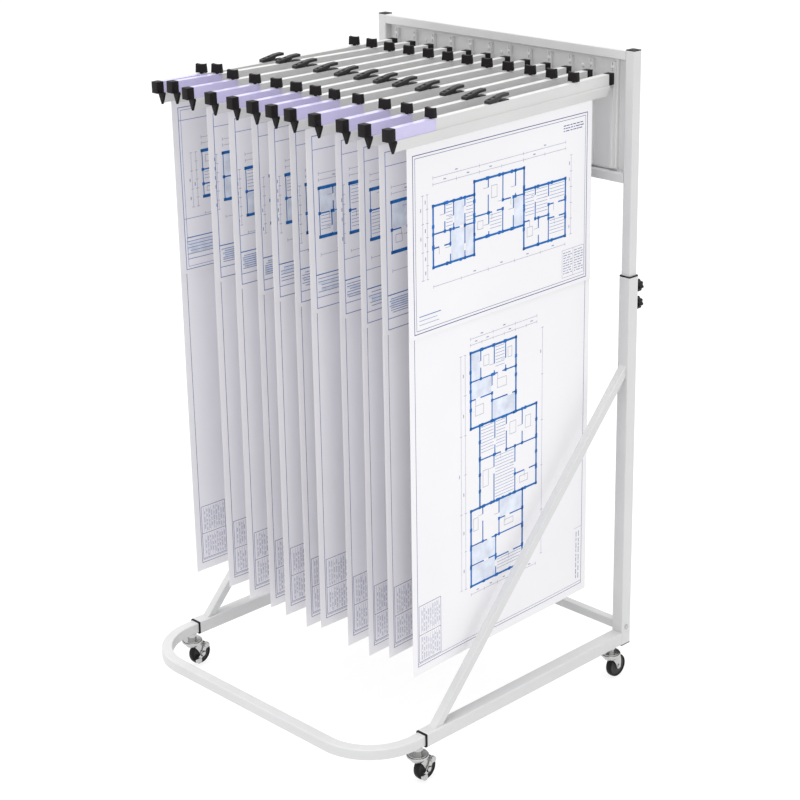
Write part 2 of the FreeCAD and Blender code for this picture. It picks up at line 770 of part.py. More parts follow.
def clamp_jaw():
    """Right-hand jaw: a top flange under the beam and a lip that slants to the sheet."""
    edge, tip = jaw_gap / 2, jaw_tip_width / 2
    side, top = jaw_width / 2, jaw_height
    shoulder = top - jaw_shoulder_drop
    slant = math.hypot(side - tip, shoulder)
    inset = jaw_wall * slant / shoulder
    outline = [(edge, 0), (tip, 0), (side, shoulder), (side, top), (edge, top), (edge, top - jaw_wall),
               (side - jaw_wall, top - jaw_wall), (side - jaw_wall, shoulder + jaw_wall / 3),
               (edge, max(jaw_web, shoulder * (edge + inset - tip) / (side - tip)))]
    centre = V(0, (jaw_front + jaw_rear) / 2, jaw_level)
    return prism(outline, centre, X_AXIS, Z_AXIS, jaw_rear - jaw_front)


def front_cap():
    """Cup over the beam's front end, on a wedge that closes the ends of the jaws."""
    half = beam_width / 2 + front_cap_wall
    front = -hanger_reach
    cup = box(-half, half, front, front + front_cap_length, beam_bottom - front_cap_top,
              beam_top + front_cap_top)
    pocket = box(-beam_width / 2, beam_width / 2, front + front_cap_end,
                 front + front_cap_length + overshoot,
                 beam_bottom, beam_top)
    tip, side, neck = wedge_tip_width / 2, jaw_width / 2, wedge_neck_width / 2
    shoulder = jaw_height - jaw_shoulder_drop
    outline = [(-tip, -wedge_drop), (tip, -wedge_drop), (side, shoulder), (neck, jaw_height),
               (-neck, jaw_height), (-side, shoulder)]
    wedge = prism(outline, V(0, -jaw_tip_reach, jaw_level), X_AXIS, Z_AXIS, wedge_length)
    return cup.cut(pocket).fuse(wedge).removeSplitter()


def rear_cap():
    """Cup over the beam's rear end with the hooked tongue and the nib that steadies it."""
    half = beam_width / 2 + rear_cap_wall
    front = cap_rear - rear_cap_length
    cup = box(-half, half, front, cap_rear, beam_bottom - rear_cap_wall, beam_top + rear_cap_wall)
    pocket = box(-beam_width / 2, beam_width / 2, front - overshoot, cap_rear - rear_cap_end,
                 beam_bottom, beam_top)
    wall_back = panel_wall / 2 + lip_clearance
    tongue = box(-tongue_width / 2, tongue_width / 2, cap_rear - rear_cap_end / 2, wall_back + lip_thickness,
                 tongue_bottom, tongue_bottom + tongue_height)
    lip = box(-tongue_width / 2, tongue_width / 2, wall_back, wall_back + lip_thickness,
              tongue_bottom - lip_drop, tongue_bottom + tongue_height)
    nib = box(-nib_width / 2, nib_width / 2, cap_rear - rear_cap_end / 2, -panel_wall / 2 - nib_clearance,
              jaw_level + nib_level, jaw_level + nib_level + nib_height)
    return cup.cut(pocket).fuse([tongue, lip, nib]).removeSplitter()


def wing_knob(reach):
    """Crosswise wing with a dished top on a neck and a screw that enters the beam."""
    foot, top = wing_foot_width / 2, wing_top_width / 2
    low = beam_top + free_gap + wing_neck_height
    high = low + wing_height
    y = -reach - wing_thickness / 2
    corners = [V(-top, y, high), V(-foot, y, low), V(foot, y, low), V(top, y, high)]
    edges = [Part.makeLine(a, b) for a, b in zip(corners, corners[1:])]
    edges.append(Part.Arc(corners[3], V(0, y, high - wing_dip), corners[0]).toShape())
    wing = Part.Face(Part.Wire(edges)).extrude(Y_AXIS * wing_thickness)
    neck = cylinder(wing_neck_radius, V(0, -reach, beam_top + free_gap), Z_AXIS, wing_neck_height)
    screw = cylinder(wing_screw_radius, V(0, -reach, beam_top - wing_screw_length), Z_AXIS,
                     wing_screw_length + wing_neck_height)
    return wing.fuse([neck, screw]).removeSplitter()


def lever_solid(points, width):
    """Extrudes a side outline of (distance behind the lever's front, height) points."""
    origin = V(0, -lever_reach, beam_top)
    return prism(points, origin, Y_AXIS, Z_AXIS, width)


def press_lever():
    """Rocking lever: foot, front slope with two windows, and a raised rear arm."""
    arm_bottom = lever_arm_height - lever_arm_thickness
    arm_heel = lever_heel_reach + lever_arm_thickness
    side = [(0, free_gap), (lever_foot_length, 2 * free_gap), (lever_heel_reach, lever_heel_height),
            (arm_heel, arm_bottom), (lever_length, arm_bottom + lever_tip_rise),
            (lever_length, lever_arm_height + lever_tip_rise), (lever_arm_start, lever_arm_height),
            (lever_nose_length, lever_nose_rise), (0, lever_nose_height)]
    body = lever_solid(side, lever_width)
    slot_end = lever_slot_start + lever_slot_length
    slot = [(lever_slot_start, -overshoot), (slot_end, -overshoot), (slot_end, lever_slot_height),
            (lever_slot_start, lever_slot_height)]
    body = body.cut(lever_solid(slot, lug_width + 2 * lever_slot_side))
    for start in lever_window_starts:
        end = start + lever_window_length
        window = [(start, lever_window_floor), (end, lever_window_floor),
                  (end, lever_arm_height), (start, lever_arm_height)]
        body = body.cut(lever_solid(window, lever_width / 2))
    back, height = lever_pin
    pin = cylinder(lever_pin_radius, V(-lever_width / 2, -lever_reach + back, beam_top + height),
                   X_AXIS, lever_width)
    return body.fuse(pin).removeSplitter()


def lever_base():
    """Saddle on the beam: a bored lug between the lever's cheeks and a flat tail."""
    back, height = lever_pin
    rear = back + lug_half_foot
    lug = lever_solid([(back - lug_half_foot, 0), (saddle_back, 0), (saddle_back, saddle_height),
                       (rear, saddle_height), (back + lug_half_top, lug_height),
                       (back - lug_half_top, lug_height)], lug_width)
    tail = lever_solid([(saddle_back - saddle_height, 0), (tail_back - tail_ramp, 0),
                        (tail_back, tail_height / 2), (tail_back - tail_ramp, tail_height),
                        (saddle_back + tail_ramp, tail_height)], tail_width)
    hole = cylinder(lever_pin_radius + running_clearance,
                    V(-lever_width, -lever_reach + back, beam_top + height), X_AXIS, 2 * lever_width)
    return lug.fuse(tail).cut(hole).removeSplitter()


def drawing_sheet(length, setback):
    """The hanging set of sheets, plumb, its top edge tucked up between the drooping jaws."""
    front = -jaw_tip_reach + setback
    middle = front + sheet_width / 2
    top = jaw_level + sheet_tuck + middle * math.sin(math.radians(loaded_droop))
    return box(-sheet_thickness / 2, sheet_thickness / 2, front, front + sheet_width, top - length, top)


def hung(solids, place, swing, droop):
    """Hooks a straight clamp into its rib, swung and drooping as it rests."""
    moved = []
    for solid in solids:
        copy = solid.copy()
        copy.rotate(V(0, 0, tongue_bottom), X_AXIS, droop)
        copy.rotate(V(0, 0, 0), Z_AXIS, swing)
        copy.translate(V(place, pivot_y, 0))
        moved.append(copy)
    return moved


def hangers():
    rail = [clamp_beam(), clamp_jaw(), mirrored(clamp_jaw())]
    caps = [front_cap(), rear_cap(), lever_base()]
    front_knob, rear_knob = wing_knob(front_knob_reach), wing_knob(rear_knob_reach)
    lever = press_lever()
    places = rib_places()
    for k, (place, swing) in enumerate(zip(places, rest_swings), start=1):
        length, setback = sheet_lengths[k - 1], sheet_setbacks[k - 1]
        droop = loaded_droop if length else 0
        name = f"hanger_{k:02d}"
        export(f"{name}_rail", hung(rail, place, swing, droop))
        if k == hanger_count:
            export(f"{name}_fittings", hung(caps + [rear_knob], place, swing, droop))
            export(f"{name}_knob", hung([front_knob], place, swing, droop))
            export(f"{name}_lever", hung([lever], place, swing, droop))
        else:
            export(f"{name}_fittings", hung(caps + [rear_knob, front_knob, lever], place, swing, droop))
        if length:
            export(f"plan_sheet_{k:02d}", hung([drawing_sheet(length, setback)], place, swing, 0))


# ---------------------------------------------------------------- build
def build():
    right = side_frame()
    export("side_frame_right", right)
    export("side_frame_left", [mirrored(solid) for solid in right])
    export("front_loop", [front_loop()])
    export("rear_crossbar", [rear_crossbar()])
    export("base_plastics", base_plastics())
    export("base_hardware", base_hardware())
    names = ("front_left", "front_right", "rear_left", "rear_right")
    for name, (x, y, _, _) in zip(names, caster_places()):
        braked = name.startswith("front")
        axle_end = brake_face + brake_thickness + free_gap + axle_head_height if braked else \
            fork_leg_outer + axle_head_height
        place = V(x, y, 0)
        export(f"caster_fork_{name}", [caster_fork(axle_end).translated(place)])
        export(f"caster_wheel_{name}", [caster_wheel().translated(place)])
        if braked:
            export(f"caster_brake_{name}", [brake_lever().translated(place)])
    knob = height_knob()
    for side, side_name in ((-1, "left"), (1, "right")):
        for level, level_name in zip(knob_levels, ("upper", "lower")):
            at = V(side * half_spacing, knob_face, level)
            export(f"height_knob_{side_name}_{level_name}", [knob.translated(at)])
    export("panel_frame", panel_frame())
    export("slot_panel", [slotted_panel()] + panel_screws())
    export("top_plugs", top_plugs())
    hangers()


build()
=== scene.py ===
"""Looks of the plan hanging rack: coated tubes, moulded clamp fittings, casters and printed sheets."""

import bmesh
import bpy
import json
import math
import random
from mathutils import Matrix, Vector


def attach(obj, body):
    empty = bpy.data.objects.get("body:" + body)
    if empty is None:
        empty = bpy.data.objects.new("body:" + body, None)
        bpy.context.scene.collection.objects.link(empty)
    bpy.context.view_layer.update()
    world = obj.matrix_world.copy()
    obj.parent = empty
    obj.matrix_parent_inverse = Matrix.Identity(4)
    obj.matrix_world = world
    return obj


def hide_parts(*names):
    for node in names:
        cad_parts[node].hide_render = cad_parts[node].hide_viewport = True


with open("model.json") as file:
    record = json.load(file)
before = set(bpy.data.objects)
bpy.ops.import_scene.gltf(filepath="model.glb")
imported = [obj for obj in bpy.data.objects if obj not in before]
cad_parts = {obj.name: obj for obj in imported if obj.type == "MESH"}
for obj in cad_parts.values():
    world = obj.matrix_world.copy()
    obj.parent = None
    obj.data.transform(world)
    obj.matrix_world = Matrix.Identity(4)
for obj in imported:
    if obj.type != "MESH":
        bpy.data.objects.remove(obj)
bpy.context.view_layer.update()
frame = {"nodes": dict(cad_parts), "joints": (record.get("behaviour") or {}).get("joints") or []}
NODES = frame["nodes"]
JOINTS = {joint["name"]: joint for joint in frame["joints"]}

# Pieces are drawn in millimetres in axes of their own, and placed in the shared frame in metres
MM = 0.001
RUNNING_CLEARANCE = 0.06
# Corners this near the beam's end belong to it
END_MARGIN = 1.5
# A turned outline stops this short of its axis
NEAR_AXIS = 0.0001

# ---- camera, floor and light
CAMERA_PLACE = (3.135, -2.964, 2.311)
CAMERA_AZIMUTH = 44.56
CAMERA_PITCH = 18.28
CAMERA_ROLL = -0.49
CAMERA_LENS = 87.6
CAMERA_SENSOR = 36.0
CAMERA_SHIFT = (-0.06, -0.08)
FLOOR_REACH = 40.0
FLOOR_GLOW = 0.72
FLOOR_STRENGTH = 1.16
FLOOR_COLOUR = (0.86, 0.86, 0.86)
AMBIENT = 0.95
AMBIENT_COLOUR = (0.99, 0.99, 1.0)
LAMP_PLACE = (0.0, -1.6, 12.0)
LAMP_AIM = (0, 0, 0.8)
LAMP_SIZE = 9.0
LAMP_POWER = 780

# ---- clamp, from its hook
CLAMP_COUNT = 12
LOOSE_CLAMP = 12
BEAM_HALF = 8.25
BEAM_LOW = -15.0
BEAM_HIGH = 10.0
JAW_LOW = -40.0
CAP_FRONT = -743.0
CAP_LENGTH = 18.5
CAP_END = 2.0
FRONT_CAP_HALF = 10.25
REAR_CAP_HALF = 8.85
CAP_SKIN = 0.6
REAR_CAP_BACK = -4.75
WEDGE_FRONT = -726.0
WEDGE_LENGTH = 6.0
WEDGE_DROP = 3.0
WEDGE_HALF = 10.5
WEDGE_NECK_HALF = 9.0
WEDGE_TIP_HALF = 0.5
WEDGE_SHOULDER = 4.0
TONGUE_HALF = 1.5
TONGUE_HEIGHT = 6.0
TONGUE_BACK = 3.2
LIP_FRONT = 1.2
LIP_DROP = 4.0
NIB_HALF = 3.5
NIB_LOW = -14.0
NIB_HEIGHT = 8.0
NIB_BACK = -1.4
FRONT_KNOB = -609.0
REAR_KNOB = -141.0
FRONT_TURNS = (28, 22, 24, 22, 24, 24, 13, 8, 9, 12, 6, 0)
REAR_TURNS = (20, 24, 22, 24, 18, 22, 20, 14, 18, 12, 8, 2)
WING_FOOT_HALF = 13.5
WING_TOP_HALF = 12.0
WING_HEIGHT = 21.0
WING_HALF_DEPTH = 5.0
WING_DIP = 1.6
WING_SEAT = 0.3
WING_NECK = 2.0
WING_NECK_RADIUS = 4.0
SCREW_RADIUS = 2.5
SCREW_LENGTH = 20.0
LEVER_FRONT = -434.0
LEVER_LENGTH = 64.0
LEVER_HALF = 7.5
LEVER_SIDE = [(0, 0.3), (22, 0.6), (34, 4), (40.5, 8.5), (63, 9.5), (64, 10.4), (64, 15.2), (63, 16),
              (43, 15), (6, 8.2), (0, 6.5)]
LEVER_WINDOWS = (5.5, 19.5)
WINDOW_LENGTH = 6.5
WINDOW_FLOOR = 3.0
LUG_HALF = 2.5
LUG_SIDE_GAP = 0.35
LUG_SLOT = (11.0, 32.0)
LUG_SLOT_ROOF = 8.0
LUG_SIDE = [(12, 0), (36, 0), (36, 1.3), (28, 1.3), (24, 7), (16, 7)]
TAIL_SIDE = [(34.7, 0), (62, 0), (66, 1.4), (62, 2.8), (40, 2.8)]
TAIL_HALF = 6.5
LEVER_PIN = (20.0, 4.6)
LEVER_PIN_RADIUS = 1.5
SLEEVE_FRONT = -724.3
SLEEVE_TOP_BACK = -613.8
SLEEVE_SIDE_BACK = -602.0
SLEEVE_SKIN = 0.25
SLEEVE_GAP = 0.02
SLEEVE_FOOT = 0.4

# ---- casters, from the stem's foot on the floor
WHEEL_RADIUS = 29.0
WHEEL_HALF = 8.0
HUB_HALF = 9.1
HUB_RADIUS = 9.0
AXLE_RADIUS = 3.0
AXLE_HOLE = 3.06
TRAIL = 21.0
LEG_INNER = 9.5
LEG_OUTER = 11.5
FORK_LEVEL = 64.0
DISH_RADIUS = 25.5
DISH_RISE = 6.0
BORE_RADIUS = 6.06
BOSS_RADIUS = 7.0
BRAKE_FACE = 11.8
BRAKE_THICKNESS = 2.5
BRAKE_PAD_RADIUS = 7.5
BRAKE_PAD_LENGTH = 8.0
BRAKE_UPPER = (63.0, 24.0)
BRAKE_LOWER = (222.0, 20.5)
BRAKE_HUB_RADIUS = 8.0
BRAKE_ROOT_HALF = 4.5
BRAKE_TIP_HALF = 6.3
AXLE_HEAD_RADIUS = 5.0
AXLE_HEAD_FLAT = 4.2
AXLE_HEAD_BEVEL = 0.7
AXLE_HEAD = 2.0

# ---- height knobs, from the post's face
KNOB_LOBES = 7
KNOB_RADIUS = 13.4
KNOB_LOBE_RISE = 1.5
KNOB_NECK_RADIUS = 8.0
KNOB_NECK = 8.0
KNOB_LENGTH = 16.0
STUD_RADIUS = 3.9
STUD_REACH = 3.2

# ---- sheets
PAPER_THICKNESS = 0.3
LEAF_GAP = 0.05
LEAF_DROP = 434.0
GRIP_DEPTH = 23.5
SHEET_STEP = 24.0
WAVE = 1.8
LEAF_LIFT = 2.2
INK_RISE = 0.1
FRAME_INSET = 17.0
FRAME_DOUBLE = 6.5
TOP_MARGIN = 42.0
FOOT_MARGIN = 20.0
LEAF_FOOT = 10.0
TITLE_SIZE = (72.0, 136.0)
SWAY_RUN = 300.0

# ---- prints: strokes' widths, then a plan's sizes
HAIR = 0.6
THIN = 0.8
FINE = 0.9
RULE = 1.1
OUTER_WALL = 5.0
INNER_WALL = 3.2
FAR_WALL = 2.2
DOOR = 16
SMALL_ROOM = 62
HATCH_STEP = 7.5
PIER = 8.0
PIER_PITCH = 42
WALL_END = 7.2
TICK = 4.0
DIMENSION_LINES = ((18, 6), (32, 3))
DIMENSION_GAP = 20
NOTE_SHARE = 0.32
NOTE_STEP = 6.0
TITLE_COLUMNS = 10
NEAR_UPPER_PLAN = ((78, 158, 208, 290), (208, 130, 372, 258), (372, 180, 516, 312))
TABLE = (506, 346, 584, 410)
TABLE_MIDDLE = 545

# Colours are linear RGB
WHITE_COAT = (0.67, 0.67, 0.668)
CLAMP_WHITE = (0.67, 0.67, 0.66)
PANEL_GREY = (0.74, 0.74, 0.74)
BLACK_PLASTIC = (0.013, 0.011, 0.011)
LEVER_PLASTIC = (0.032, 0.032, 0.034)
ZINC = (0.54, 0.54, 0.535)
WHEEL_BLACK = (0.012, 0.012, 0.013)
HUB_GREY = (0.028, 0.028, 0.029)
LAVENDER = (0.61, 0.575, 0.82)
PAPER = (0.885, 0.876, 0.895)
INK_NAVY = (0.045, 0.080, 0.27)
INK_BLUE = (0.013, 0.155, 0.50)
INK_SLATE = (0.28, 0.32, 0.49)
INK_SOFT = (0.15, 0.22, 0.52)
INK_WASH = (0.77, 0.82, 0.93)
# Painted shade: a cooler paper colour laid inside the frame of every sheet but the nearest, for the shade
# between the sheets
PAPER_PAINTED_SHADE = (0.89, 0.88, 0.92)


def new_object(name, data):
    """An object of this data in the scene."""
    made = bpy.data.objects.new(name, data)
    bpy.context.scene.collection.objects.link(made)
    return made


# ---- materials
def set_inputs(node, values):
    for socket, value in values.items():
        node.inputs[socket].default_value = value


def new_material(name):
    made = bpy.data.materials.new(name)
    made.use_nodes = True
    nodes, links = made.node_tree.nodes, made.node_tree.links
    return made, nodes, links, nodes["Principled BSDF"]


def noise(nodes, links, coordinates, scale, detail):
    texture = nodes.new("ShaderNodeTexNoise")
    set_inputs(texture, {"Scale": scale, "Detail": detail})
    links.new(coordinates, texture.inputs["Vector"])
    return texture.outputs["Fac"]


def scaled(value, factor):
    return tuple(min(1.0, c * factor) for c in value)


def surface(name, colour, roughness, metallic=0.0, spread=0.05, patch=7.0, grain=900.0, bump=0.1,
            depth=0.0002, specular=0.5):
    """A coloured surface: broad uneven tone, uneven gloss and a fine grain in relief."""
    made, nodes, links, shader = new_material(name)
    set_inputs(shader, {"Metallic": metallic, "Specular IOR Level": specular})
    where = nodes.new("ShaderNodeTexCoord").outputs["Object"]
    broad = noise(nodes, links, where, patch, 3.0)
    ramp = nodes.new("ShaderNodeValToRGB")
    ramp.color_ramp.elements[0].position = 0.3
    ramp.color_ramp.elements[1].position = 0.7
    ramp.color_ramp.elements[0].color = (*scaled(colour, 1 - spread), 1)
    ramp.color_ramp.elements[1].color = (*scaled(colour, 1 + spread * 0.4), 1)
    links.new(broad, ramp.inputs["Fac"])
    links.new(ramp.outputs["Color"], shader.inputs["Base Color"])
    gloss = nodes.new("ShaderNodeMapRange")
    set_inputs(gloss, {"To Min": roughness * 0.88, "To Max": min(1.0, roughness * 1.12)})
    links.new(noise(nodes, links, where, patch * 9, 4.0), gloss.inputs["Value"])
    links.new(gloss.outputs["Result"], shader.inputs["Roughness"])
    relief = nodes.new("ShaderNodeBump")
    set_inputs(relief, {"Strength": bump, "Distance": depth})
    links.new(noise(nodes, links, where, grain, 2.0), relief.inputs["Height"])
    links.new(relief.outputs["Normal"], shader.inputs["Normal"])
    return made


def paper_material(name, colour):
    """Matt opaque paper: faint cloudiness and fine fibres in relief."""
    return surface(name, colour, 0.75, spread=0.03, patch=2.2, grain=2600.0, bump=0.12, depth=0.00015,
                   specular=0.2)


def ink_material(name, colour, spread, patch=60.0):
    return surface(name, colour, 0.7, spread=spread, patch=patch, grain=2600.0, specular=0.2)


FINISHES = {
    "white_coat": surface("powder_coat_white", WHITE_COAT, 0.36, spread=0.03, bump=0.18),
    "clamp_white": surface("clamp_coat_white", CLAMP_WHITE, 0.30, spread=0.03, bump=0.06),
    "panel_grey": surface("powder_coat_grey", PANEL_GREY, 0.40, spread=0.05, bump=0.18),
    "black": surface("moulded_black", BLACK_PLASTIC, 0.5, spread=0.2, patch=60.0, grain=2200.0, bump=0.25,
                     specular=0.16),
    "lever": surface("moulded_charcoal", LEVER_PLASTIC, 0.46, spread=0.2, patch=60.0, grain=2200.0, bump=0.2,
                     specular=0.3),
    "zinc": surface("zinc_plate", ZINC, 0.24, metallic=1.0, spread=0.10, patch=40.0, grain=700.0, bump=0.06),
    "wheel": surface("wheel_tread", WHEEL_BLACK, 0.5, spread=0.25, patch=45.0, grain=1500.0, bump=0.3,
                     specular=0.16),
    "hub": surface("wheel_hub", HUB_GREY, 0.42, spread=0.15, patch=60.0, grain=1800.0, bump=0.2,
                   specular=0.25),
    "lavender": surface("label_sleeve", LAVENDER, 0.22, spread=0.04, patch=25.0, grain=500.0, bump=0.03),
    "paper": paper_material("plan_paper", PAPER),
    # painted shade for the fields of the sheets that stand between others
    "paper_painted_shade": paper_material("plan_paper_painted_shade", PAPER_PAINTED_SHADE),
    "ink_navy": ink_material("ink_navy", INK_NAVY, 0.25),
    "ink_blue": ink_material("ink_blue", INK_BLUE, 0.3),
    "ink_slate": ink_material("ink_slate", INK_SLATE, 0.25),
    "ink_wash": ink_material("ink_wash", INK_WASH, 0.2, patch=30.0),
    "ink_soft": ink_material("ink_soft", INK_SOFT, 0.2),
}
INKS = ("ink_navy", "ink_blue", "ink_slate", "ink_wash", "ink_soft")


# ---- mesh helpers, in millimetres
def add_face(bm, corners):
    return bm.faces.new([bm.verts.new(c) for c in corners])


def add_block(bm, low, high):
    """A box between two corners."""
    made = bmesh.ops.create_cube(bm, size=1.0)["verts"]
    middle = (Vector(low) + Vector(high)) / 2
    size = Vector(high) - Vector(low)
    for vertex in made:
        vertex.co = middle + Vector(a * b for a, b in zip(vertex.co, size))


def bridge(bm, ring, after):
    """Faces between two closed rings with as many corners."""
    for k in range(len(ring)):
        n = (k + 1) % len(ring)
        bm.faces.new((ring[k], ring[n], after[n], after[k]))


def add_prism(bm, outline, at, low, high):
    """Extrudes the outline's (u, v) points from low to high; at(u, v, w) gives each corner."""
    near = [bm.verts.new(at(u, v, low)) for u, v in outline]
    far = [bm.verts.new(at(u, v, high)) for u, v in outline]
    bm.faces.new(near[::-1])
    bm.faces.new(far)
    bridge(bm, near, far)


def across(u, v, w):
    """Outline in Y and Z, extruded along X."""
    return Vector((w, u, v))


def along(u, v, w):
    """Outline in X and Z, extruded along Y."""
    return Vector((u, w, v))


def add_lathe(bm, outline, at, steps=48, start=0.0, sweep=360.0):
    """Turns a closed outline of (radius, height) points; at(x, y, height) gives each corner."""
    whole = sweep >= 360.0
    rings = []
    for k in range(steps if whole else steps + 1):
        angle = math.radians(start + sweep * k / steps)
        rings.append([bm.verts.new(at(r * math.cos(angle), r * math.sin(angle), h)) for r, h in outline])
    pairs = list(zip(rings, rings[1:]))
    if whole:
        pairs.append((rings[-1], rings[0]))
    for ring, after in pairs:
        bridge(bm, ring, after)
    if not whole:
        bm.faces.new(rings[0][::-1])
        bm.faces.new(rings[-1])


def upright(x, y, h):
    return Vector((x, y, h))


def sideways(x, y, h):
    """A lathe whose axis lies along X."""
    return Vector((h, x, y))


def rearward(x, y, h):
    """A lathe whose axis lies along Y."""
    return Vector((x, h, y))


def shifted(at, offset):
    return lambda u, v, w: at(u, v, w) + Vector(offset)


def add_rod(bm, radius, at, low, high, steps=24):
    outline = [(NEAR_AXIS, low), (radius, low), (radius, high), (NEAR_AXIS, high)]
    add_lathe(bm, outline, at, steps)


def add_cup(bm, low, high, inner_low, inner_high, end):
    """A box with a box hollow that is open at one end along Y: end is -1 or 1."""
    open_y = high[1] if end > 0 else low[1]
    shut_y = low[1] if end > 0 else high[1]
    inner_y = inner_low[1] if end > 0 else inner_high[1]

    def ring(y, a, b):
        corners = ((a[0], a[2]), (b[0], a[2]), (b[0], b[2]), (a[0], b[2]))
        return [bm.verts.new((x, y, z)) for x, z in corners]

    rings = [ring(shut_y, low, high), ring(open_y, low, high),
             ring(open_y, inner_low, inner_high), ring(inner_y, inner_low, inner_high)]
    bm.faces.new(rings[0])
    bm.faces.new(rings[3])
    for first, second in zip(rings, rings[1:]):
        bridge(bm, first, second)


def arc(centre, radius, start, end, steps):
    """Points of an arc in (u, v), angles in degrees."""
    angles = [math.radians(start + (end - start) * k / steps) for k in range(steps + 1)]
    return [(centre[0] + radius * math.cos(a), centre[1] + radius * math.sin(a)) for a in angles]


def bend(start, control, end, steps=8):
    """Points of a quadratic curve in (u, v)."""
    points = []
    for k in range(steps + 1):
        t = k / steps
        points.append(tuple((1 - t) ** 2 * a + 2 * t * (1 - t) * b + t * t * c
                            for a, b, c in zip(start, control, end)))
    return points


def evaluated(mesh, *steps):
    """The mesh after one or more modifiers; each step sets one up on a scratch object."""
    scratch = new_object("scratch", mesh)
    for step in steps:
        step(scratch)
    graph = bpy.context.evaluated_depsgraph_get()
    made = bpy.data.meshes.new_from_object(scratch.evaluated_get(graph))
    bpy.data.objects.remove(scratch)
    return made


def softened(width, segments):
    def step(scratch):
        modifier = scratch.modifiers.new("soft", "BEVEL")
        modifier.width = width * MM
        modifier.segments = segments
        modifier.limit_method = "ANGLE"
        modifier.angle_limit = math.radians(32)
    return step


# Cutting objects of the mesh at hand, removed by finished() once its modifiers are applied
tools = []


def cut_by(cutter):
    def step(scratch):
        tool = new_object("tool", cutter)
        modifier = scratch.modifiers.new("cut", "BOOLEAN")
        modifier.operation = "DIFFERENCE"
        modifier.solver = "EXACT"
        modifier.object = tool
        tools.append(tool)
    return step


def raw(name, bm):
    """A bmesh drawn in millimetres as a mesh in metres."""
    bmesh.ops.scale(bm, vec=(MM, MM, MM), verts=bm.verts)
    bmesh.ops.recalc_face_normals(bm, faces=bm.faces)
    mesh = bpy.data.meshes.new(name)
    bm.to_mesh(mesh)
    bm.free()
    return mesh


def finished(name, bm, soft=0.0, segments=2, cutter=None, crease=40.0):
    """A mesh with cuts made, its edges softened and its curved faces shaded smooth."""
    mesh = raw(name, bm)
    steps = []
    if cutter:
        steps.append(cut_by(raw(name + "_cut", cutter)))
    if soft:
        steps.append(softened(soft, segments))
    if steps:
        mesh = evaluated(mesh, *steps)
        mesh.name = name
    while tools:
        bpy.data.objects.remove(tools.pop())
    mesh.shade_smooth()
    mesh.set_sharp_from_angle(angle=math.radians(crease))
    return mesh


def place(name, mesh, matrix, body, finish):
    """An object of this mesh that rides on a body."""
    made = new_object(name, mesh)
    if not mesh.materials:
        mesh.materials.append(FINISHES[finish])
    made.matrix_world = matrix
    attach(made, body)
    return made


def repaint(node, finish):
    """Gives a carried-over CAD node its finish."""
    materials = NODES[node].data.materials
    materials.clear()
    materials.append(FINISHES[finish])


# ---- clamp pieces
def front_cap():
    """Moulded cap over the beam's front end."""
    bm = bmesh.new()
    back = CAP_FRONT + CAP_LENGTH
    low, high = BEAM_LOW - CAP_SKIN, BEAM_HIGH + CAP_SKIN
    add_cup(bm, (-FRONT_CAP_HALF, CAP_FRONT, low), (FRONT_CAP_HALF, back, high),
            (-BEAM_HALF, CAP_FRONT + CAP_END, BEAM_LOW), (BEAM_HALF, back, BEAM_HIGH), 1)
    return finished("front_cap", bm, soft=0.7, segments=3)


def jaw_end():
    """Pointed piece that closes the front ends of both jaws."""
    bm = bmesh.new()
    shoulder = BEAM_LOW - WEDGE_SHOULDER
    tip = JAW_LOW - WEDGE_DROP
    outline = [(-WEDGE_TIP_HALF, tip), (WEDGE_TIP_HALF, tip), (WEDGE_HALF, shoulder),
               (WEDGE_NECK_HALF, BEAM_LOW), (-WEDGE_NECK_HALF, BEAM_LOW), (-WEDGE_HALF, shoulder)]
    add_prism(bm, outline, along, WEDGE_FRONT, WEDGE_FRONT + WEDGE_LENGTH)
    return finished("jaw_end", bm, soft=0.35)


def rear_cap():
    """Moulded cap with the hooked tongue and the nib that face the panel's rib."""
    bm = bmesh.new()
    front = REAR_CAP_BACK - CAP_LENGTH
    low, high = BEAM_LOW - CAP_SKIN, BEAM_HIGH + CAP_SKIN
    root = REAR_CAP_BACK - CAP_END / 2
    add_cup(bm, (-REAR_CAP_HALF, front, low), (REAR_CAP_HALF, REAR_CAP_BACK, high),
            (-BEAM_HALF, front, BEAM_LOW), (BEAM_HALF, REAR_CAP_BACK - CAP_END, BEAM_HIGH), -1)
    add_block(bm, (-TONGUE_HALF, root, 0), (TONGUE_HALF, TONGUE_BACK, TONGUE_HEIGHT))
    add_block(bm, (-TONGUE_HALF, LIP_FRONT, -LIP_DROP), (TONGUE_HALF, TONGUE_BACK, 0.2))
    add_block(bm, (-NIB_HALF, root, NIB_LOW), (NIB_HALF, NIB_BACK, NIB_LOW + NIB_HEIGHT))
    return finished("rear_cap", bm, soft=0.35)


def wing_knob():
    """Crosswise wing with a dished top, on a neck and a screw."""
    bm = bmesh.new()
    low = WING_SEAT + WING_NECK
    high = low + WING_HEIGHT
    steps = 10
    top = []
    for k in range(steps + 1):
        x = WING_TOP_HALF * (1 - 2 * k / steps)
        top.append((x, high - WING_DIP * (1 - (x / WING_TOP_HALF) ** 2)))
    foot = [(-WING_FOOT_HALF, low), (WING_FOOT_HALF, low)]
    add_prism(bm, top + foot, along, -WING_HALF_DEPTH, WING_HALF_DEPTH)
    add_rod(bm, WING_NECK_RADIUS, upright, WING_SEAT, low + 0.5)
    add_rod(bm, SCREW_RADIUS, upright, -SCREW_LENGTH, low)
    return finished("wing_knob", bm, soft=0.9, segments=3)


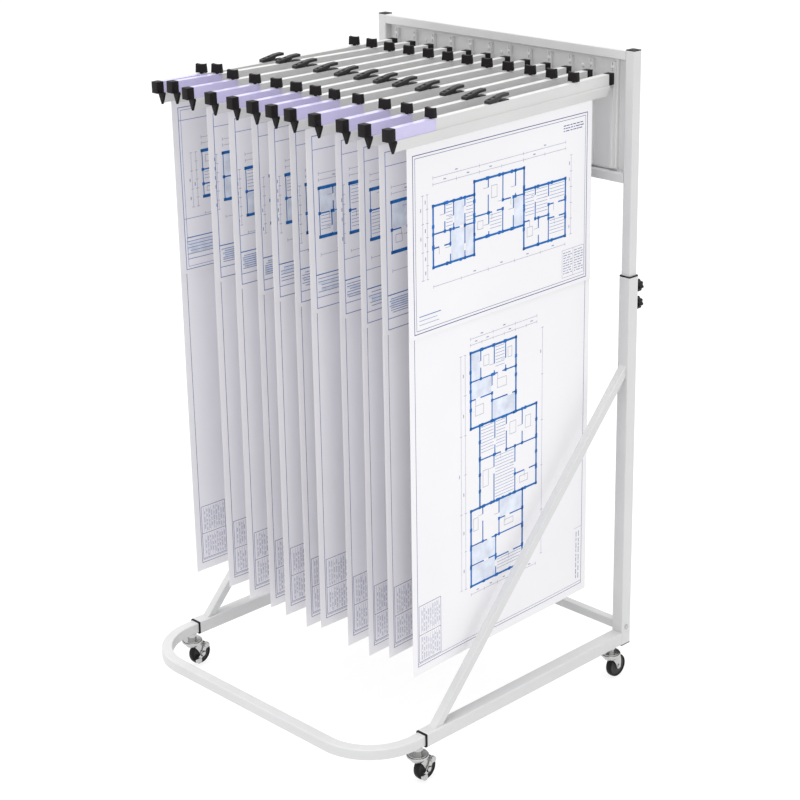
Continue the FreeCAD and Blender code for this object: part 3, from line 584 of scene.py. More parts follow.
def press_lever():
    """Rocking lever, from the front of its foot: front slope with two windows and a raised arm."""
    bm = bmesh.new()
    add_prism(bm, LEVER_SIDE, across, -LEVER_HALF, LEVER_HALF)
    cutter = bmesh.new()
    half = LUG_HALF + LUG_SIDE_GAP
    near, far = LUG_SLOT
    slot = [(near, -1), (far, -1), (far, LUG_SLOT_ROOF), (near, LUG_SLOT_ROOF)]
    add_prism(cutter, slot, across, -half, half)
    for near in LEVER_WINDOWS:
        far = near + WINDOW_LENGTH
        window = [(near, WINDOW_FLOOR), (far, WINDOW_FLOOR), (far, LEVER_LENGTH), (near, LEVER_LENGTH)]
        add_prism(cutter, window, across, -LEVER_HALF / 2, LEVER_HALF / 2)
    return finished("press_lever", bm, soft=0.5, cutter=cutter)


def lever_pin():
    bm = bmesh.new()
    add_rod(bm, LEVER_PIN_RADIUS, shifted(sideways, (0, *LEVER_PIN)), -LEVER_HALF, LEVER_HALF)
    return finished("lever_pin", bm)


def lever_base():
    """Saddle on the beam under the lever: bored lug and a flat tail."""
    bm = bmesh.new()
    add_prism(bm, LUG_SIDE, across, -LUG_HALF, LUG_HALF)
    add_prism(bm, TAIL_SIDE, across, -TAIL_HALF, TAIL_HALF)
    cutter = bmesh.new()
    bore = LEVER_PIN_RADIUS + RUNNING_CLEARANCE
    add_rod(cutter, bore, shifted(sideways, (0, *LEVER_PIN)), -LEVER_HALF, LEVER_HALF)
    return finished("lever_base", bm, cutter=cutter)


def label_sleeve():
    """Thin folded sleeve that clips over the beam behind the front cap; its sides reach past the knob."""
    bm = bmesh.new()
    inner, outer = BEAM_HALF + SLEEVE_GAP, BEAM_HALF + SLEEVE_SKIN
    roof = BEAM_HIGH + SLEEVE_GAP
    foot = BEAM_LOW + SLEEVE_FOOT
    add_block(bm, (-outer, SLEEVE_FRONT, roof), (outer, SLEEVE_TOP_BACK, BEAM_HIGH + SLEEVE_SKIN))
    for side in (-1, 1):
        near, far = sorted((side * inner, side * outer))
        add_block(bm, (near, SLEEVE_FRONT, foot), (far, SLEEVE_SIDE_BACK, BEAM_HIGH + SLEEVE_SKIN))
    return finished("label_sleeve", bm)


def clamp_axes(number):
    """The clamp's own axes in the shared frame: hook at the origin, beam towards -Y."""
    hook = Vector(JOINTS[f"hanger_{number:02d}_swing"]["pos_m"])
    corners = [v.co for v in NODES[f"hanger_{number:02d}_rail"].data.vertices]
    front_y = min(c.y for c in corners) + END_MARGIN * MM
    rear_y = max(c.y for c in corners) - END_MARGIN * MM
    front = middle([c for c in corners if c.y < front_y])
    rear = middle([c for c in corners if c.y > rear_y])
    y_axis = (rear - front).normalized()
    x_axis = Vector((y_axis.y, -y_axis.x, 0)).normalized()
    z_axis = x_axis.cross(y_axis)
    axes = Matrix((x_axis, y_axis, z_axis)).transposed().to_4x4()
    axes.translation = hook
    return axes


def sheet_axes(number):
    """The clamp's axes with its droop taken out: the paper hangs plumb."""
    axes = clamp_axes(number)
    along_beam = axes.col[1].to_3d()
    y_axis = Vector((along_beam.x, along_beam.y, 0)).normalized()
    x_axis = Vector((y_axis.y, -y_axis.x, 0))
    plumb = Matrix((x_axis, y_axis, Vector((0, 0, 1)))).transposed().to_4x4()
    plumb.translation = axes.translation
    return plumb


def middle(points):
    """The centre of the box round some points."""
    low = Vector(min(p[k] for p in points) for k in range(3))
    high = Vector(max(p[k] for p in points) for k in range(3))
    return (low + high) / 2


def moved(x, y, z):
    return Matrix.Translation(Vector((x, y, z)) * MM)


def turned(degrees):
    return Matrix.Rotation(math.radians(degrees), 4, "Z")


def dress_clamps():
    cap, end, hook_cap, wing = front_cap(), jaw_end(), rear_cap(), wing_knob()
    lever, pin, base, sleeve = press_lever(), lever_pin(), lever_base(), label_sleeve()
    for number in range(1, CLAMP_COUNT + 1):
        body = f"hanger_{number:02d}"
        axes = clamp_axes(number)
        loose = number == LOOSE_CLAMP
        repaint(f"{body}_rail", "clamp_white")
        first = place(f"{body}_front_cap", cap, axes, body, "black")
        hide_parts(f"{body}_fittings")
        for piece, mesh, finish in (("jaw_end", end, "black"), ("hook_cap", hook_cap, "black"),
                                    ("label_sleeve", sleeve, "lavender")):
            place(f"{body}_{piece}", mesh, axes, body, finish)
        rear_place = axes @ moved(0, REAR_KNOB, BEAM_HIGH) @ turned(REAR_TURNS[number - 1])
        place(f"{body}_rear_wing", wing, rear_place, body, "black")
        front_place = axes @ moved(0, FRONT_KNOB, BEAM_HIGH) @ turned(FRONT_TURNS[number - 1])
        knob_body = f"{body}_knob" if loose else body
        knob = place(f"{body}_front_wing", wing, front_place, knob_body, "black")
        lever_place = axes @ moved(0, LEVER_FRONT, BEAM_HIGH)
        lever_body = f"{body}_lever" if loose else body
        rocker = place(f"{body}_press_lever", lever, lever_place, lever_body, "lever")
        place(f"{body}_lever_pin", pin, lever_place, lever_body, "lever")
        place(f"{body}_lever_base", base, lever_place, body, "lever")
        if loose:
            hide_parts(f"{body}_knob")
            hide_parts(f"{body}_lever")


# ---- casters
def caster_tyre():
    half = [(22.5, 6.6), (24.2, 7.6), (26.6, WHEEL_HALF), (27.8, 6.9), (28.7, 4.6), (WHEEL_RADIUS, 1.6)]
    outline = [(r, -h) for r, h in half] + [(r, h) for r, h in reversed(half)]
    bm = bmesh.new()
    add_lathe(bm, outline, sideways, 72)
    return finished("caster_tyre", bm)


def caster_hub():
    half = [(AXLE_HOLE, HUB_HALF), (7.6, HUB_HALF), (HUB_RADIUS, HUB_HALF - 0.6), (HUB_RADIUS + 0.8, 7.2),
            (17, 5.6), (22.5, 6.4)]
    outline = [(r, -h) for r, h in half] + [(r, h) for r, h in reversed(half)]
    bm = bmesh.new()
    add_lathe(bm, outline, sideways, 72)
    return finished("caster_hub", bm)


def fork_leg_outline():
    """Side view of a fork leg, in Y and Z from the stem's foot."""
    boss = arc((TRAIL, WHEEL_RADIUS), BOSS_RADIUS, -175, 5, 14)
    front = bend((-20, FORK_LEVEL), (6, FORK_LEVEL - 12), boss[0], 8)
    rear = bend(boss[-1], (TRAIL + BOSS_RADIUS + 3, FORK_LEVEL - 16), (TRAIL + 2, FORK_LEVEL), 8)
    return front[:-1] + boss + rear[1:]


def caster_fork():
    """Stamped fork: dished crown, front skirt and two shaped legs."""
    bm = bmesh.new()
    rim = FORK_LEVEL + DISH_RISE
    crown = [(BORE_RADIUS, FORK_LEVEL), (DISH_RADIUS - 3.5, FORK_LEVEL), (DISH_RADIUS - 1, FORK_LEVEL + 1),
             (DISH_RADIUS, FORK_LEVEL + 3), (DISH_RADIUS, rim - 0.6), (DISH_RADIUS - 0.6, rim),
             (DISH_RADIUS - 1.4, rim), (DISH_RADIUS - 2, rim - 0.6), (DISH_RADIUS - 2, FORK_LEVEL + 3.5),
             (DISH_RADIUS - 4.3, FORK_LEVEL + 2), (BORE_RADIUS, FORK_LEVEL + 2)]
    add_lathe(bm, crown, upright, 64)
    skirt = [(DISH_RADIUS - 3.2, FORK_LEVEL + 0.4), (19.5, FORK_LEVEL - 3.5), (15.5, FORK_LEVEL - 9.5),
             (13.8, FORK_LEVEL - 9.5), (17.8, FORK_LEVEL - 4), (DISH_RADIUS - 6, FORK_LEVEL + 0.4)]
    add_lathe(bm, skirt, upright, 30, start=180, sweep=180)
    for side in (-1, 1):
        low, high = sorted((side * LEG_INNER, side * LEG_OUTER))
        add_prism(bm, fork_leg_outline(), across, low, high)
    return finished("caster_fork", bm, soft=0.35)


def axle(end):
    """Axle with a flat head at each side; end is its reach on the +X side."""
    bm = bmesh.new()
    at = shifted(sideways, (0, TRAIL, WHEEL_RADIUS))
    add_rod(bm, AXLE_RADIUS, at, -LEG_OUTER - 1.5, end - 0.2)
    for low, high in ((-LEG_OUTER - AXLE_HEAD, -LEG_OUTER), (end - AXLE_HEAD, end)):
        head = [(NEAR_AXIS, low), (AXLE_HEAD_FLAT, low), (AXLE_HEAD_RADIUS, low + AXLE_HEAD_BEVEL),
                (AXLE_HEAD_RADIUS, high - AXLE_HEAD_BEVEL), (AXLE_HEAD_FLAT, high), (NEAR_AXIS, high)]
        add_lathe(bm, head, at, 32)
    return finished("caster_axle", bm)


def brake():
    """Rocking brake: hub, two arms that widen outwards and a round pad with a recessed face at each end."""
    bm = bmesh.new()
    outer = BRAKE_FACE + BRAKE_THICKNESS
    at = shifted(sideways, (0, TRAIL, WHEEL_RADIUS))
    ring = [(AXLE_HOLE, BRAKE_FACE), (BRAKE_HUB_RADIUS, BRAKE_FACE), (BRAKE_HUB_RADIUS, outer),
            (AXLE_HOLE, outer)]
    add_lathe(bm, ring, at, 40)
    for angle, reach in (BRAKE_UPPER, BRAKE_LOWER):
        c, s = math.cos(math.radians(angle)), math.sin(math.radians(angle))
        shape = [(BRAKE_ROOT_HALF, -BRAKE_ROOT_HALF), (reach, -BRAKE_TIP_HALF), (reach, BRAKE_TIP_HALF),
                 (BRAKE_ROOT_HALF, BRAKE_ROOT_HALF)]
        arm = [(TRAIL + a * c - b * s, WHEEL_RADIUS + a * s + b * c) for a, b in shape]
        add_prism(bm, arm, across, BRAKE_FACE, outer)
        spot = shifted(sideways, (0, TRAIL + reach * c, WHEEL_RADIUS + reach * s))
        tip = BRAKE_FACE + BRAKE_PAD_LENGTH
        pad = [(NEAR_AXIS, BRAKE_FACE), (BRAKE_PAD_RADIUS, BRAKE_FACE), (BRAKE_PAD_RADIUS, tip - 1.2),
               (BRAKE_PAD_RADIUS - 1.2, tip), (3.4, tip), (2.8, tip - 0.8), (NEAR_AXIS, tip - 0.8)]
        add_lathe(bm, pad, spot, 36)
    return finished("brake", bm, soft=0.3)


def dress_casters():
    tyre, hub, fork, lever = caster_tyre(), caster_hub(), caster_fork(), brake()
    pins = {"front": axle(BRAKE_FACE + BRAKE_THICKNESS + 2.3), "rear": axle(LEG_OUTER + AXLE_HEAD)}
    for end in ("front", "rear"):
        for side in ("left", "right"):
            spot = f"{end}_{side}"
            stem = Vector(JOINTS[f"caster_{spot}_swivel"]["pos_m"])
            foot = Matrix.Translation((stem.x, stem.y, 0))
            stamped = place(f"{spot}_fork", fork, foot, f"caster_{spot}", "zinc")
            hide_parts(f"caster_fork_{spot}")
            place(f"{spot}_axle", pins[end], foot, f"caster_{spot}", "zinc")
            centre = foot @ moved(0, TRAIL, WHEEL_RADIUS)
            rolling = place(f"{spot}_tyre", tyre, centre, f"wheel_{spot}", "wheel")
            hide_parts(f"caster_wheel_{spot}")
            place(f"{spot}_hub", hub, centre, f"wheel_{spot}", "hub")
            if end == "front":
                rocker = place(f"{spot}_brake", lever, foot, f"brake_{spot}", "zinc")
                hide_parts(f"caster_brake_{spot}")


# ---- height knobs
def lobed(radius, angle, rise):
    return radius + rise * math.cos(KNOB_LOBES * angle)


def height_knob():
    """Seven-lobed knob with a dished face, a neck and a plain stud, along +Y from the post."""
    bm = bmesh.new()
    base, tip = KNOB_NECK, KNOB_NECK + KNOB_LENGTH
    profile = [(-2.4, base, 0.4), (0, base, 0.9), (0, base + 1.2, 1.0), (0, tip - 2.2, 1.0),
               (-1.0, tip - 0.7, 1.0), (-3.0, tip, 0.8), (-6.0, tip, 0.4), (-7.5, tip - 0.8, 0.0),
               (-13.3, tip - 0.8, 0.0)]
    steps = KNOB_LOBES * 12
    rings = []
    for inset, y, share in profile:
        ring = []
        for k in range(steps):
            angle = 2 * math.pi * k / steps
            r = lobed(KNOB_RADIUS + inset, angle, KNOB_LOBE_RISE * share)
            ring.append(bm.verts.new((r * math.sin(angle), y, r * math.cos(angle))))
        rings.append(ring)
    bm.faces.new(rings[0])
    bm.faces.new(rings[-1][::-1])
    for ring, after in zip(rings, rings[1:]):
        bridge(bm, ring, after)
    add_rod(bm, KNOB_NECK_RADIUS, rearward, 0, base + 0.5, 40)
    add_rod(bm, STUD_RADIUS, rearward, -STUD_REACH + 0.3, base, 24)
    return finished("height_knob", bm)


def dress_height_knobs():
    knob = height_knob()
    for side in ("left", "right"):
        for level in ("upper", "lower"):
            body = f"height_knob_{side}_{level}"
            spot = Matrix.Translation(JOINTS[f"{body}_turn"]["pos_m"])
            made = place(f"{body}_grip", knob, spot, body, "black")
            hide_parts(body)


# ---- printed sheets
class Sheet:
    """One clamp's long sheet and the short leaf in front of it, as shapes in (s, t).

    s runs from the front edge to the rear and t from the top edge down, in millimetres."""

    def __init__(self, number):
        self.number = number
        self.body = f"hanger_{number:02d}"
        self.axes = sheet_axes(number)
        back = self.axes.inverted()
        corners = [(back @ v.co) / MM for v in NODES[f"plan_sheet_{number:02d}"].data.vertices]
        self.front = min(c.y for c in corners)
        self.width = max(c.y for c in corners) - self.front
        self.top = max(c.z for c in corners)
        self.length = self.top - min(c.z for c in corners)
        chance = random.Random(number)
        self.phase = chance.uniform(0, 2 * math.pi)
        self.run = chance.uniform(0.75, 1.25) * self.width
        self.curl = chance.uniform(-1.5, 1.5)
        self.lift = LEAF_LIFT * chance.uniform(0.7, 1.3)
        self.bias = {1: 1.0, CLAMP_COUNT: -1.0}.get(number, 0.0)

    def sway(self, s, t):
        """How far the long sheet stands to the side of the clamp's middle plane."""
        free = min(1.0, max(0.0, (t - GRIP_DEPTH) / SWAY_RUN))
        free = free * free * (3 - 2 * free)
        wave = WAVE * (math.sin(2 * math.pi * s / self.run + self.phase) + self.bias)
        fore = (1 - s / self.width) ** 2
        curl = (self.curl + 2.0 * self.bias) * fore * (t / self.length) ** 3
        return free * (wave * (0.4 + 0.6 * t / self.length) + curl)

    def leaf_sway(self, s, t):
        """The leaf lies on the long sheet and lifts a little towards its foot."""
        share = t / LEAF_DROP
        lift = self.lift * share ** 3 * (0.6 + 0.4 * s / self.width)
        return self.sway(s, t) + PAPER_THICKNESS + LEAF_GAP + lift

    def point(self, s, t, x):
        return Vector((x, self.front + s, self.top - t))

    def paper(self, name, length, sway, base, field):
        """A thin sheet between two faces that follow sway; on every sheet but the nearest, the field inside
        its frame carries painted shade, a cooler paper colour for the shade between the sheets.
        """
        s_lines = grid_lines(0, field[0], field[2], self.width)
        t_lines = grid_lines(0, field[1], field[3], length)
        bm = bmesh.new()
        sides = []
        for offset in (base, base + PAPER_THICKNESS):
            sides.append([[bm.verts.new(self.point(s, t, sway(s, t) + offset)) for s in s_lines]
                          for t in t_lines])
        for grid in sides:
            for j, (upper, lower) in enumerate(zip(grid, grid[1:])):
                for i in range(len(s_lines) - 1):
                    face = bm.faces.new((upper[i], upper[i + 1], lower[i + 1], lower[i]))
                    inside = field[0] <= s_lines[i] < field[2] and field[1] <= t_lines[j] < field[3]
                    # painted shade: inside the frame, every sheet but the nearest takes the cooler shaded
                    # paper colour
                    face.material_index = int(inside and self.number < CLAMP_COUNT)
        rims = []
        for grid in sides:
            rim = grid[0][:-1] + [row[-1] for row in grid[:-1]]
            rim += grid[-1][:0:-1] + [row[0] for row in grid[:0:-1]]
            rims.append(rim)
        bridge(bm, *rims)
        mesh = finished(name, bm, crease=60)
        mesh.materials.append(FINISHES["paper"])
        mesh.materials.append(FINISHES["paper_painted_shade"])
        return place(name, mesh, self.axes, self.body, "paper")


def grid_lines(*stops):
    """Evenly spaced places between each pair of stops, the stops among them."""
    places = [stops[0]]
    for low, high in zip(stops, stops[1:]):
        parts = max(1, round((high - low) / SHEET_STEP))
        places += [low + (high - low) * k / parts for k in range(1, parts + 1)]
    return places


class Print:
    """Strokes of ink laid on one face of a sheet."""

    def __init__(self, sheet, name, sway, base):
        self.sheet, self.name, self.sway = sheet, name, sway
        self.rise = base + INK_RISE
        self.bm = bmesh.new()

    def stroke(self, s0, t0, s1, t1, width, ink):
        """A straight stroke; it is divided so that it follows the paper."""
        run = math.hypot(s1 - s0, t1 - t0)
        if run < 0.01:
            return
        across_s, across_t = -(t1 - t0) / run * width / 2, (s1 - s0) / run * width / 2
        parts = max(1, math.ceil(run / (SHEET_STEP * 1.5)))
        rows = []
        for k in range(parts + 1):
            s, t = s0 + (s1 - s0) * k / parts, t0 + (t1 - t0) * k / parts
            pair = []
            for sign in (-1, 1):
                a, b = s + sign * across_s, t + sign * across_t
                a = min(max(a, 0), self.sheet.width)
                pair.append(self.bm.verts.new(self.sheet.point(a, b, self.sway(a, b) + self.rise)))
            rows.append(pair)
        for first, second in zip(rows, rows[1:]):
            face = self.bm.faces.new((first[0], first[1], second[1], second[0]))
            face.material_index = INKS.index(ink)

    def box(self, s0, t0, s1, t1, width, ink):
        half = width / 2
        self.stroke(s0 - half, t0, s1 + half, t0, width, ink)
        self.stroke(s0 - half, t1, s1 + half, t1, width, ink)
        self.stroke(s0, t0, s0, t1, width, ink)
        self.stroke(s1, t0, s1, t1, width, ink)

    def patch(self, s0, t0, s1, t1, ink):
        """A filled rectangle, laid as bands so that it follows the paper."""
        bands = max(1, math.ceil((t1 - t0) / SHEET_STEP))
        step = (t1 - t0) / bands
        for k in range(bands):
            self.stroke(s0, t0 + (k + 0.5) * step, s1, t0 + (k + 0.5) * step, step, ink)

    def done(self):
        """The strokes as one object, all facing the same way."""
        bmesh.ops.scale(self.bm, vec=(MM, MM, MM), verts=self.bm.verts)
        for face in self.bm.faces:
            face.normal_update()
            if face.normal.x < 0:
                face.normal_flip()
        mesh = bpy.data.meshes.new(self.name)
        self.bm.to_mesh(mesh)
        self.bm.free()
        for ink in INKS:
            mesh.materials.append(FINISHES[ink])
        return place(self.name, mesh, self.sheet.axes, self.sheet.body, INKS[0])


def dimension_line(page, s0, t0, s1, t1, stops, chance):
    """A thin line with a tick and a figure-like dash at each stop."""
    page.stroke(s0, t0, s1, t1, THIN, "ink_slate")
    upright_line = abs(s1 - s0) < abs(t1 - t0)
    for k in range(stops + 1):
        s, t = s0 + (s1 - s0) * k / stops, t0 + (t1 - t0) * k / stops
        if upright_line:
            page.stroke(s - TICK, t, s + TICK, t, FINE, "ink_slate")
        else:
            page.stroke(s, t - TICK, s, t + TICK, FINE, "ink_slate")
        if k < stops and chance.random() < 0.7:
            ms, mt = s + (s1 - s0) / stops / 2, t + (t1 - t0) / stops / 2
            if upright_line:
                page.stroke(ms - 6, mt - 4, ms - 6, mt + 4, 2.2, "ink_slate")
            else:
                page.stroke(ms - 4, mt - 6, ms + 4, mt - 6, 2.2, "ink_slate")


def wall_run(page, s0, t0, s1, t1, thickness, gap, chance):
    """A wall with a door gap somewhere along it and a pier at each end."""
    run = math.hypot(s1 - s0, t1 - t0)
    ds, dt = (s1 - s0) / run, (t1 - t0) / run
    if gap and run > gap * 2.2:
        start = chance.uniform(0.2, 0.65) * run
        page.stroke(s0, t0, s0 + ds * start, t0 + dt * start, thickness, "ink_blue")
        after = start + gap
        page.stroke(s0 + ds * after, t0 + dt * after, s1, t1, thickness, "ink_blue")
        swing_s, swing_t = s0 + ds * start, t0 + dt * start
        page.stroke(swing_s, swing_t, swing_s - dt * gap, swing_t + ds * gap, FINE, "ink_slate")
    else:
        page.stroke(s0, t0, s1, t1, thickness, "ink_blue")
    for s, t in ((s0, t0), (s1, t1)):
        page.stroke(s - WALL_END / 2, t, s + WALL_END / 2, t, WALL_END, "ink_blue")


def split_room(page, room, depth, chance):
    """Divides a room by inner walls, again and again, and furnishes what is left."""
    s0, t0, s1, t1 = room
    wide, tall = s1 - s0, t1 - t0
    if depth == 0 or max(wide, tall) < SMALL_ROOM:
        kind = chance.random()
        if kind < 0.35:
            page.patch(s0 + 3, t0 + 3, s1 - 3, t1 - 3, "ink_wash")
        elif kind < 0.6:
            for k in range(int((tall - 8) / HATCH_STEP)):
                t = t0 + 6 + k * HATCH_STEP
                page.stroke(s0 + 4, t, s1 - 4, t, THIN, "ink_blue")
        elif kind < 0.85:
            page.box(s0 + wide * 0.22, t0 + tall * 0.25, s0 + wide * 0.6, t0 + tall * 0.6, FINE, "ink_slate")
        return
    share = chance.uniform(0.38, 0.62)
    if wide > tall:
        cut = s0 + wide * share
        wall_run(page, cut, t0, cut, t1, INNER_WALL, DOOR, chance)
        split_room(page, (s0, t0, cut, t1), depth - 1, chance)
        split_room(page, (cut, t0, s1, t1), depth - 1, chance)
    else:
        cut = t0 + tall * share
        wall_run(page, s0, cut, s1, cut, INNER_WALL, DOOR, chance)
        split_room(page, (s0, t0, s1, cut), depth - 1, chance)
        split_room(page, (s0, cut, s1, t1), depth - 1, chance)


def building(page, blocks, depth, chance, upright_wall=OUTER_WALL):
    """A floor plan of a few rectangular blocks with piers, openings and dimension lines."""
    for s0, t0, s1, t1 in blocks:
        for ends in ((s0, t0, s1, t0), (s1, t0, s1, t1), (s1, t1, s0, t1), (s0, t1, s0, t0)):
            a, b, c, d = ends
            standing = a == c
            wall_run(page, *ends, upright_wall if standing else OUTER_WALL, 0, chance)
            piers = max(1, round(math.hypot(c - a, d - b) / PIER_PITCH))
            for k in range(1, piers):
                s, t = a + (c - a) * k / piers, b + (d - b) * k / piers
                if upright_wall == OUTER_WALL:
                    page.stroke(s - PIER / 2, t, s + PIER / 2, t, PIER, "ink_blue")
        split_room(page, (s0, t0, s1, t1), depth, chance)
    s0, s1 = min(b[0] for b in blocks), max(b[2] for b in blocks)
    t0, t1 = min(b[1] for b in blocks), max(b[3] for b in blocks)
    for gap, stops in DIMENSION_LINES:
        dimension_line(page, s0, t0 - gap, s1, t0 - gap, stops, chance)
        if s0 - gap > FRAME_INSET:
            dimension_line(page, s0 - gap, t0, s0 - gap, t1, stops, chance)
    dimension_line(page, s0, t1 + DIMENSION_GAP, s1, t1 + DIMENSION_GAP, 5, chance)
    dimension_line(page, s1 + DIMENSION_GAP, t0, s1 + DIMENSION_GAP, t1, 5, chance)


def note_rows(page, s0, t0, s1, t1, step, chance, ink="ink_slate"):
    """Rows of short dashes that read as small notes from afar."""
    rows = int((t1 - t0) / step)
    for k in range(rows):
        t = t0 + (k + 0.5) * step
        s = s0
        while s < s1 - 4:
            word = chance.uniform(4, 14)
            page.stroke(s, t, min(s + word, s1), t, step * NOTE_SHARE, ink)
            s += word + chance.uniform(1.5, 4)


def title_block(page, s0, t0, s1, t1, chance):
    """A ruled block of two panels whose notes run up the sheet."""
    page.box(s0, t0, s1, t1, RULE, "ink_navy")
    middle_t = t0 + (t1 - t0) * 0.52
    page.stroke(s0, middle_t, s1, middle_t, RULE, "ink_navy")
    for top, foot in ((t0, middle_t), (middle_t, t1)):
        for k in range(1, TITLE_COLUMNS):
            s = s0 + (s1 - s0) * k / TITLE_COLUMNS
            page.stroke(s, top + 4, s, foot - 4, HAIR, "ink_slate")
            t = top + chance.uniform(5, 20)
            while t < foot - 10:
                word = chance.uniform(5, 16)
                page.stroke(s + 2.8, t, s + 2.8, min(t + word, foot - 4), 1.3, "ink_slate")
                t += word + chance.uniform(2, 7)


def ruled_band(page, left, right, top, foot, rows, chance):
    """A band of rules of uneven reach, with a faint wash in some rows between them."""
    step = (foot - top) / rows
    for k in range(rows + 1):
        start = left + chance.choice((0, 0, 4, 9))
        rule, wash = top + k * step, top + (k + 0.5) * step
        page.stroke(start, rule, right, rule, 1.4, "ink_soft")
        if k < rows and chance.random() < 0.7:
            page.stroke(start, wash, right, wash, step - 2.4, "ink_wash")


def leaf_field(sheet):
    return FRAME_INSET, TOP_MARGIN, sheet.width - FRAME_INSET, LEAF_DROP - LEAF_FOOT


def leaf_print(sheet, page, chance):
    """Upper drawing: a frame, a long plan, a small table and ruled notes."""
    left, top, right, foot = leaf_field(sheet)
    ink = "ink_navy" if sheet.number == CLAMP_COUNT else "ink_soft"
    page.box(left, top, right, foot, 1.7, ink)
    inset = 0
    if sheet.number in (1, CLAMP_COUNT):
        inset = FRAME_DOUBLE
        page.box(left + inset, top + inset, right - inset, foot - inset, 1.0, ink)
    if sheet.number == CLAMP_COUNT:
        building(page, NEAR_UPPER_PLAN, 3, chance)
        page.box(*TABLE, THIN, "ink_slate")
        page.stroke(TABLE_MIDDLE, TABLE[1], TABLE_MIDDLE, TABLE[3], THIN, "ink_slate")
        note_rows(page, 510, 350, 542, 407, NOTE_STEP, chance)
        note_rows(page, 549, 350, 581, 407, NOTE_STEP, chance)
        note_rows(page, 508, 58, 580, 76, NOTE_STEP, chance, "ink_navy")
        for k, reach in enumerate((100, 88, 94)):
            page.stroke(32, 388 + 9 * k, reach, 388 + 9 * k, 1.6 if k == 0 else THIN, "ink_blue")
        return
    start = chance.uniform(26, 46) + (48 if sheet.number == 1 else 0)
    level = TOP_MARGIN + chance.uniform(92, 124)
    blocks = [(start, level, 190, level + 108), (190, level + 22, 400, level + 128),
              (400, level, 556, level + 96)]
    building(page, blocks, 3, chance, upright_wall=FAR_WALL)
    for t in (level, level + 108):
        page.stroke(start, t, chance.uniform(96, 180), t, 7.5, "ink_blue")
    page.stroke(left, top + 30, right, top + 30, 1.2, "ink_soft")
    if chance.random() < 0.6:
        extra = foot - chance.uniform(104, 124)
        page.stroke(left, extra, right, extra, RULE, "ink_soft")
    band = foot - 66
    page.stroke(left + inset, band - 9, right - inset, band - 9, 2.2, "ink_blue")
    ruled_band(page, left + 5, right - 5, band, band + 30, chance.choice((4, 5, 6)), chance)
    page.stroke(left + inset, foot - 24, right - inset, foot - 24, 1.5, "ink_soft")


def long_field(sheet):
    return FRAME_INSET, LEAF_DROP - 30, sheet.width - FRAME_INSET, sheet.length - FOOT_MARGIN


def long_print(sheet, page, chance):
    """Lower drawing: a single frame, a tall plan, a title block and a column of notes."""
    left, top, right, foot = long_field(sheet)
    page.box(left, top, right, foot, 1.2, "ink_navy")
    inner = foot - FRAME_DOUBLE
    page.stroke(left, inner, right, inner, THIN, "ink_navy")
    wide, tall = TITLE_SIZE
    block = left + 4
    title_block(page, block, inner - 3 - tall, block + wide, inner - 3, chance)
    page.stroke(right - 28, foot - 150, right, foot - 150, THIN, "ink_slate")
    for k in range(2):
        s = right - 20 + 9 * k
        t = foot - 140
        while t < foot - 20:
            word = chance.uniform(6, 16)
            page.stroke(s, t, s, t + word, 2.4, "ink_slate")
            t += word + chance.uniform(2, 5)
    if sheet.number == CLAMP_COUNT:
        t0 = LEAF_DROP + 76
        blocks = [(196, t0, 348, t0 + 176), (226, t0 + 176, 420, t0 + 372), (196, t0 + 372, 372, t0 + 556)]
        building(page, blocks, 3, chance)
    else:
        t0 = LEAF_DROP + 60
        building(page, [(210, t0, 420, t0 + 300), (250, t0 + 300, 380, t0 + 460)], 2, chance)


def dress_sheets():
    for number in range(1, CLAMP_COUNT + 1):
        node = f"plan_sheet_{number:02d}"
        if node not in NODES:
            continue
        sheet = Sheet(number)
        chance = random.Random(100 + number)
        base = -PAPER_THICKNESS
        long_page = sheet.paper(f"plan_{number:02d}_long", sheet.length, sheet.sway, base, long_field(sheet))
        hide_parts(node)
        leaf = sheet.paper(f"plan_{number:02d}_leaf", LEAF_DROP, sheet.leaf_sway, base, leaf_field(sheet))
        long_ink = Print(sheet, f"plan_{number:02d}_long_ink", sheet.sway, base + PAPER_THICKNESS)
        long_print(sheet, long_ink, chance)
        leaf_ink = Print(sheet, f"plan_{number:02d}_leaf_ink", sheet.leaf_sway, base + PAPER_THICKNESS)
        leaf_print(sheet, leaf_ink, chance)
        inks = (long_ink.done(), leaf_ink.done())


# ---- frame
def dress_frame():
    for node in ("side_frame_left", "side_frame_right", "front_loop", "rear_crossbar", "panel_frame"):
        repaint(node, "white_coat")
    for node, finish in (("slot_panel", "panel_grey"), ("top_plugs", "black"), ("base_plastics", "black"),
                         ("base_hardware", "zinc")):
        repaint(node, finish)


# ---- stage
def seen_directly(nodes, links):
    """A socket that is 1 wherever the lens, a mirror or glass looks, and 0 for the light's other rays."""
    path = nodes.new("ShaderNodeLightPath")
    seen = nodes.new("ShaderNodeMath")
    seen.operation = "MAXIMUM"
    links.new(path.outputs["Is Camera Ray"], seen.inputs[0])
    links.new(path.outputs["Is Glossy Ray"], seen.inputs[1])
    either = nodes.new("ShaderNodeMath")
    either.operation = "MAXIMUM"
    links.new(seen.outputs["Value"], either.inputs[0])
    links.new(path.outputs["Is Transmission Ray"], either.inputs[1])
    return either.outputs["Value"]


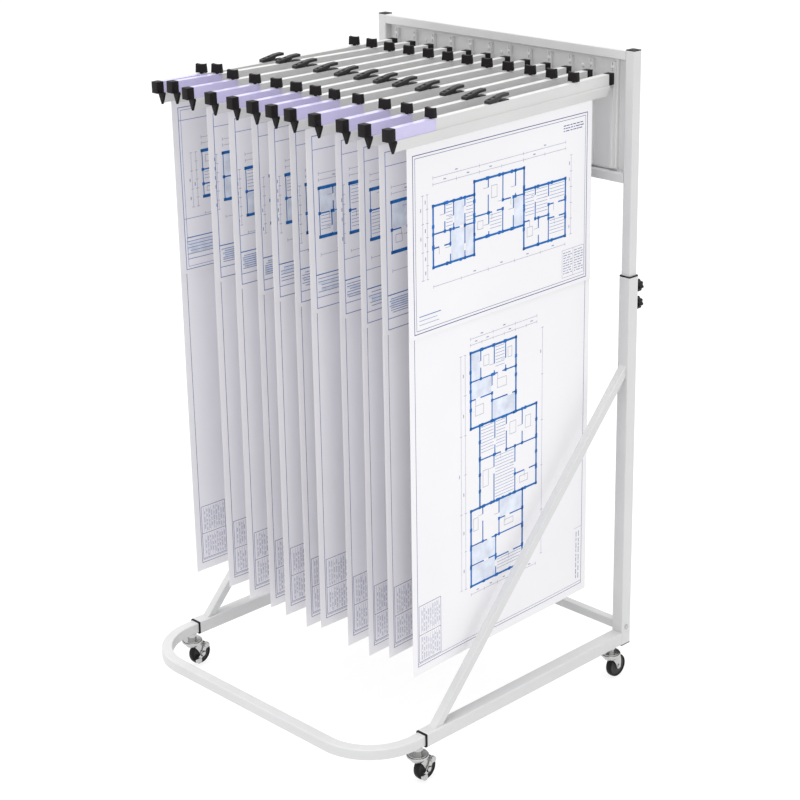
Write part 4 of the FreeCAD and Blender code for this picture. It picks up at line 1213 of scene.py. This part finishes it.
def make_floor():
    bm = bmesh.new()
    reach = FLOOR_REACH / MM
    add_face(bm, [(-reach, -reach, 0), (reach, -reach, 0), (reach, reach, 0), (-reach, reach, 0)])
    mesh = raw("floor", bm)
    floor = new_object("floor", mesh)
    made, nodes, links, shader = new_material("floor_white")
    set_inputs(shader, {"Base Color": (*FLOOR_COLOUR, 1), "Roughness": 0.9, "Specular IOR Level": 0.0})
    glow = nodes.new("ShaderNodeEmission")
    set_inputs(glow, {"Color": (1, 1, 1, 1), "Strength": FLOOR_STRENGTH})
    share = nodes.new("ShaderNodeMath")
    share.operation = "MULTIPLY"
    share.inputs[1].default_value = FLOOR_GLOW
    links.new(seen_directly(nodes, links), share.inputs[0])
    mix = nodes.new("ShaderNodeMixShader")
    links.new(share.outputs["Value"], mix.inputs["Fac"])
    links.new(shader.outputs["BSDF"], mix.inputs[1])
    links.new(glow.outputs["Emission"], mix.inputs[2])
    links.new(mix.outputs["Shader"], nodes["Material Output"].inputs["Surface"])
    mesh.materials.append(made)


def make_world():
    world = bpy.data.worlds.new("studio")
    bpy.context.scene.world = world
    world.use_nodes = True
    nodes, links = world.node_tree.nodes, world.node_tree.links
    ambient = nodes["Background"]
    set_inputs(ambient, {"Color": (*AMBIENT_COLOUR, 1), "Strength": AMBIENT})
    backdrop = nodes.new("ShaderNodeBackground")
    set_inputs(backdrop, {"Color": (1, 1, 1, 1)})
    mix = nodes.new("ShaderNodeMixShader")
    links.new(seen_directly(nodes, links), mix.inputs["Fac"])
    links.new(ambient.outputs["Background"], mix.inputs[1])
    links.new(backdrop.outputs["Background"], mix.inputs[2])
    links.new(mix.outputs["Shader"], nodes["World Output"].inputs["Surface"])


def add_light(name, place_at, aim, size, power):
    data = bpy.data.lights.new(name, "AREA")
    data.shape = "DISK"
    data.size = size
    data.energy = power
    light = new_object(name, data)
    light.location = place_at
    light.rotation_euler = (Vector(aim) - Vector(place_at)).to_track_quat("-Z", "Y").to_euler()


def make_camera():
    data = bpy.data.cameras.new("camera")
    data.lens = CAMERA_LENS
    data.sensor_width = CAMERA_SENSOR
    data.shift_x, data.shift_y = CAMERA_SHIFT
    camera = new_object("camera", data)
    azimuth, pitch = math.radians(CAMERA_AZIMUTH), math.radians(CAMERA_PITCH)
    level = math.cos(pitch)
    forward = Vector((-math.sin(azimuth) * level, math.cos(azimuth) * level, -math.sin(pitch)))
    right = Vector((math.cos(azimuth), math.sin(azimuth), 0))
    axes = Matrix((right, right.cross(forward), -forward)).transposed()
    roll = Matrix.Rotation(math.radians(CAMERA_ROLL), 3, "Z")
    camera.matrix_world = Matrix.Translation(CAMERA_PLACE) @ (axes @ roll).to_4x4()
    bpy.context.scene.camera = camera


# ---- build
make_camera()
make_world()
make_floor()
add_light("top", LAMP_PLACE, LAMP_AIM, LAMP_SIZE, LAMP_POWER)
dress_frame()
dress_clamps()
dress_casters()
dress_height_knobs()
dress_sheets()

bpy.context.scene.view_settings.view_transform = "Standard"
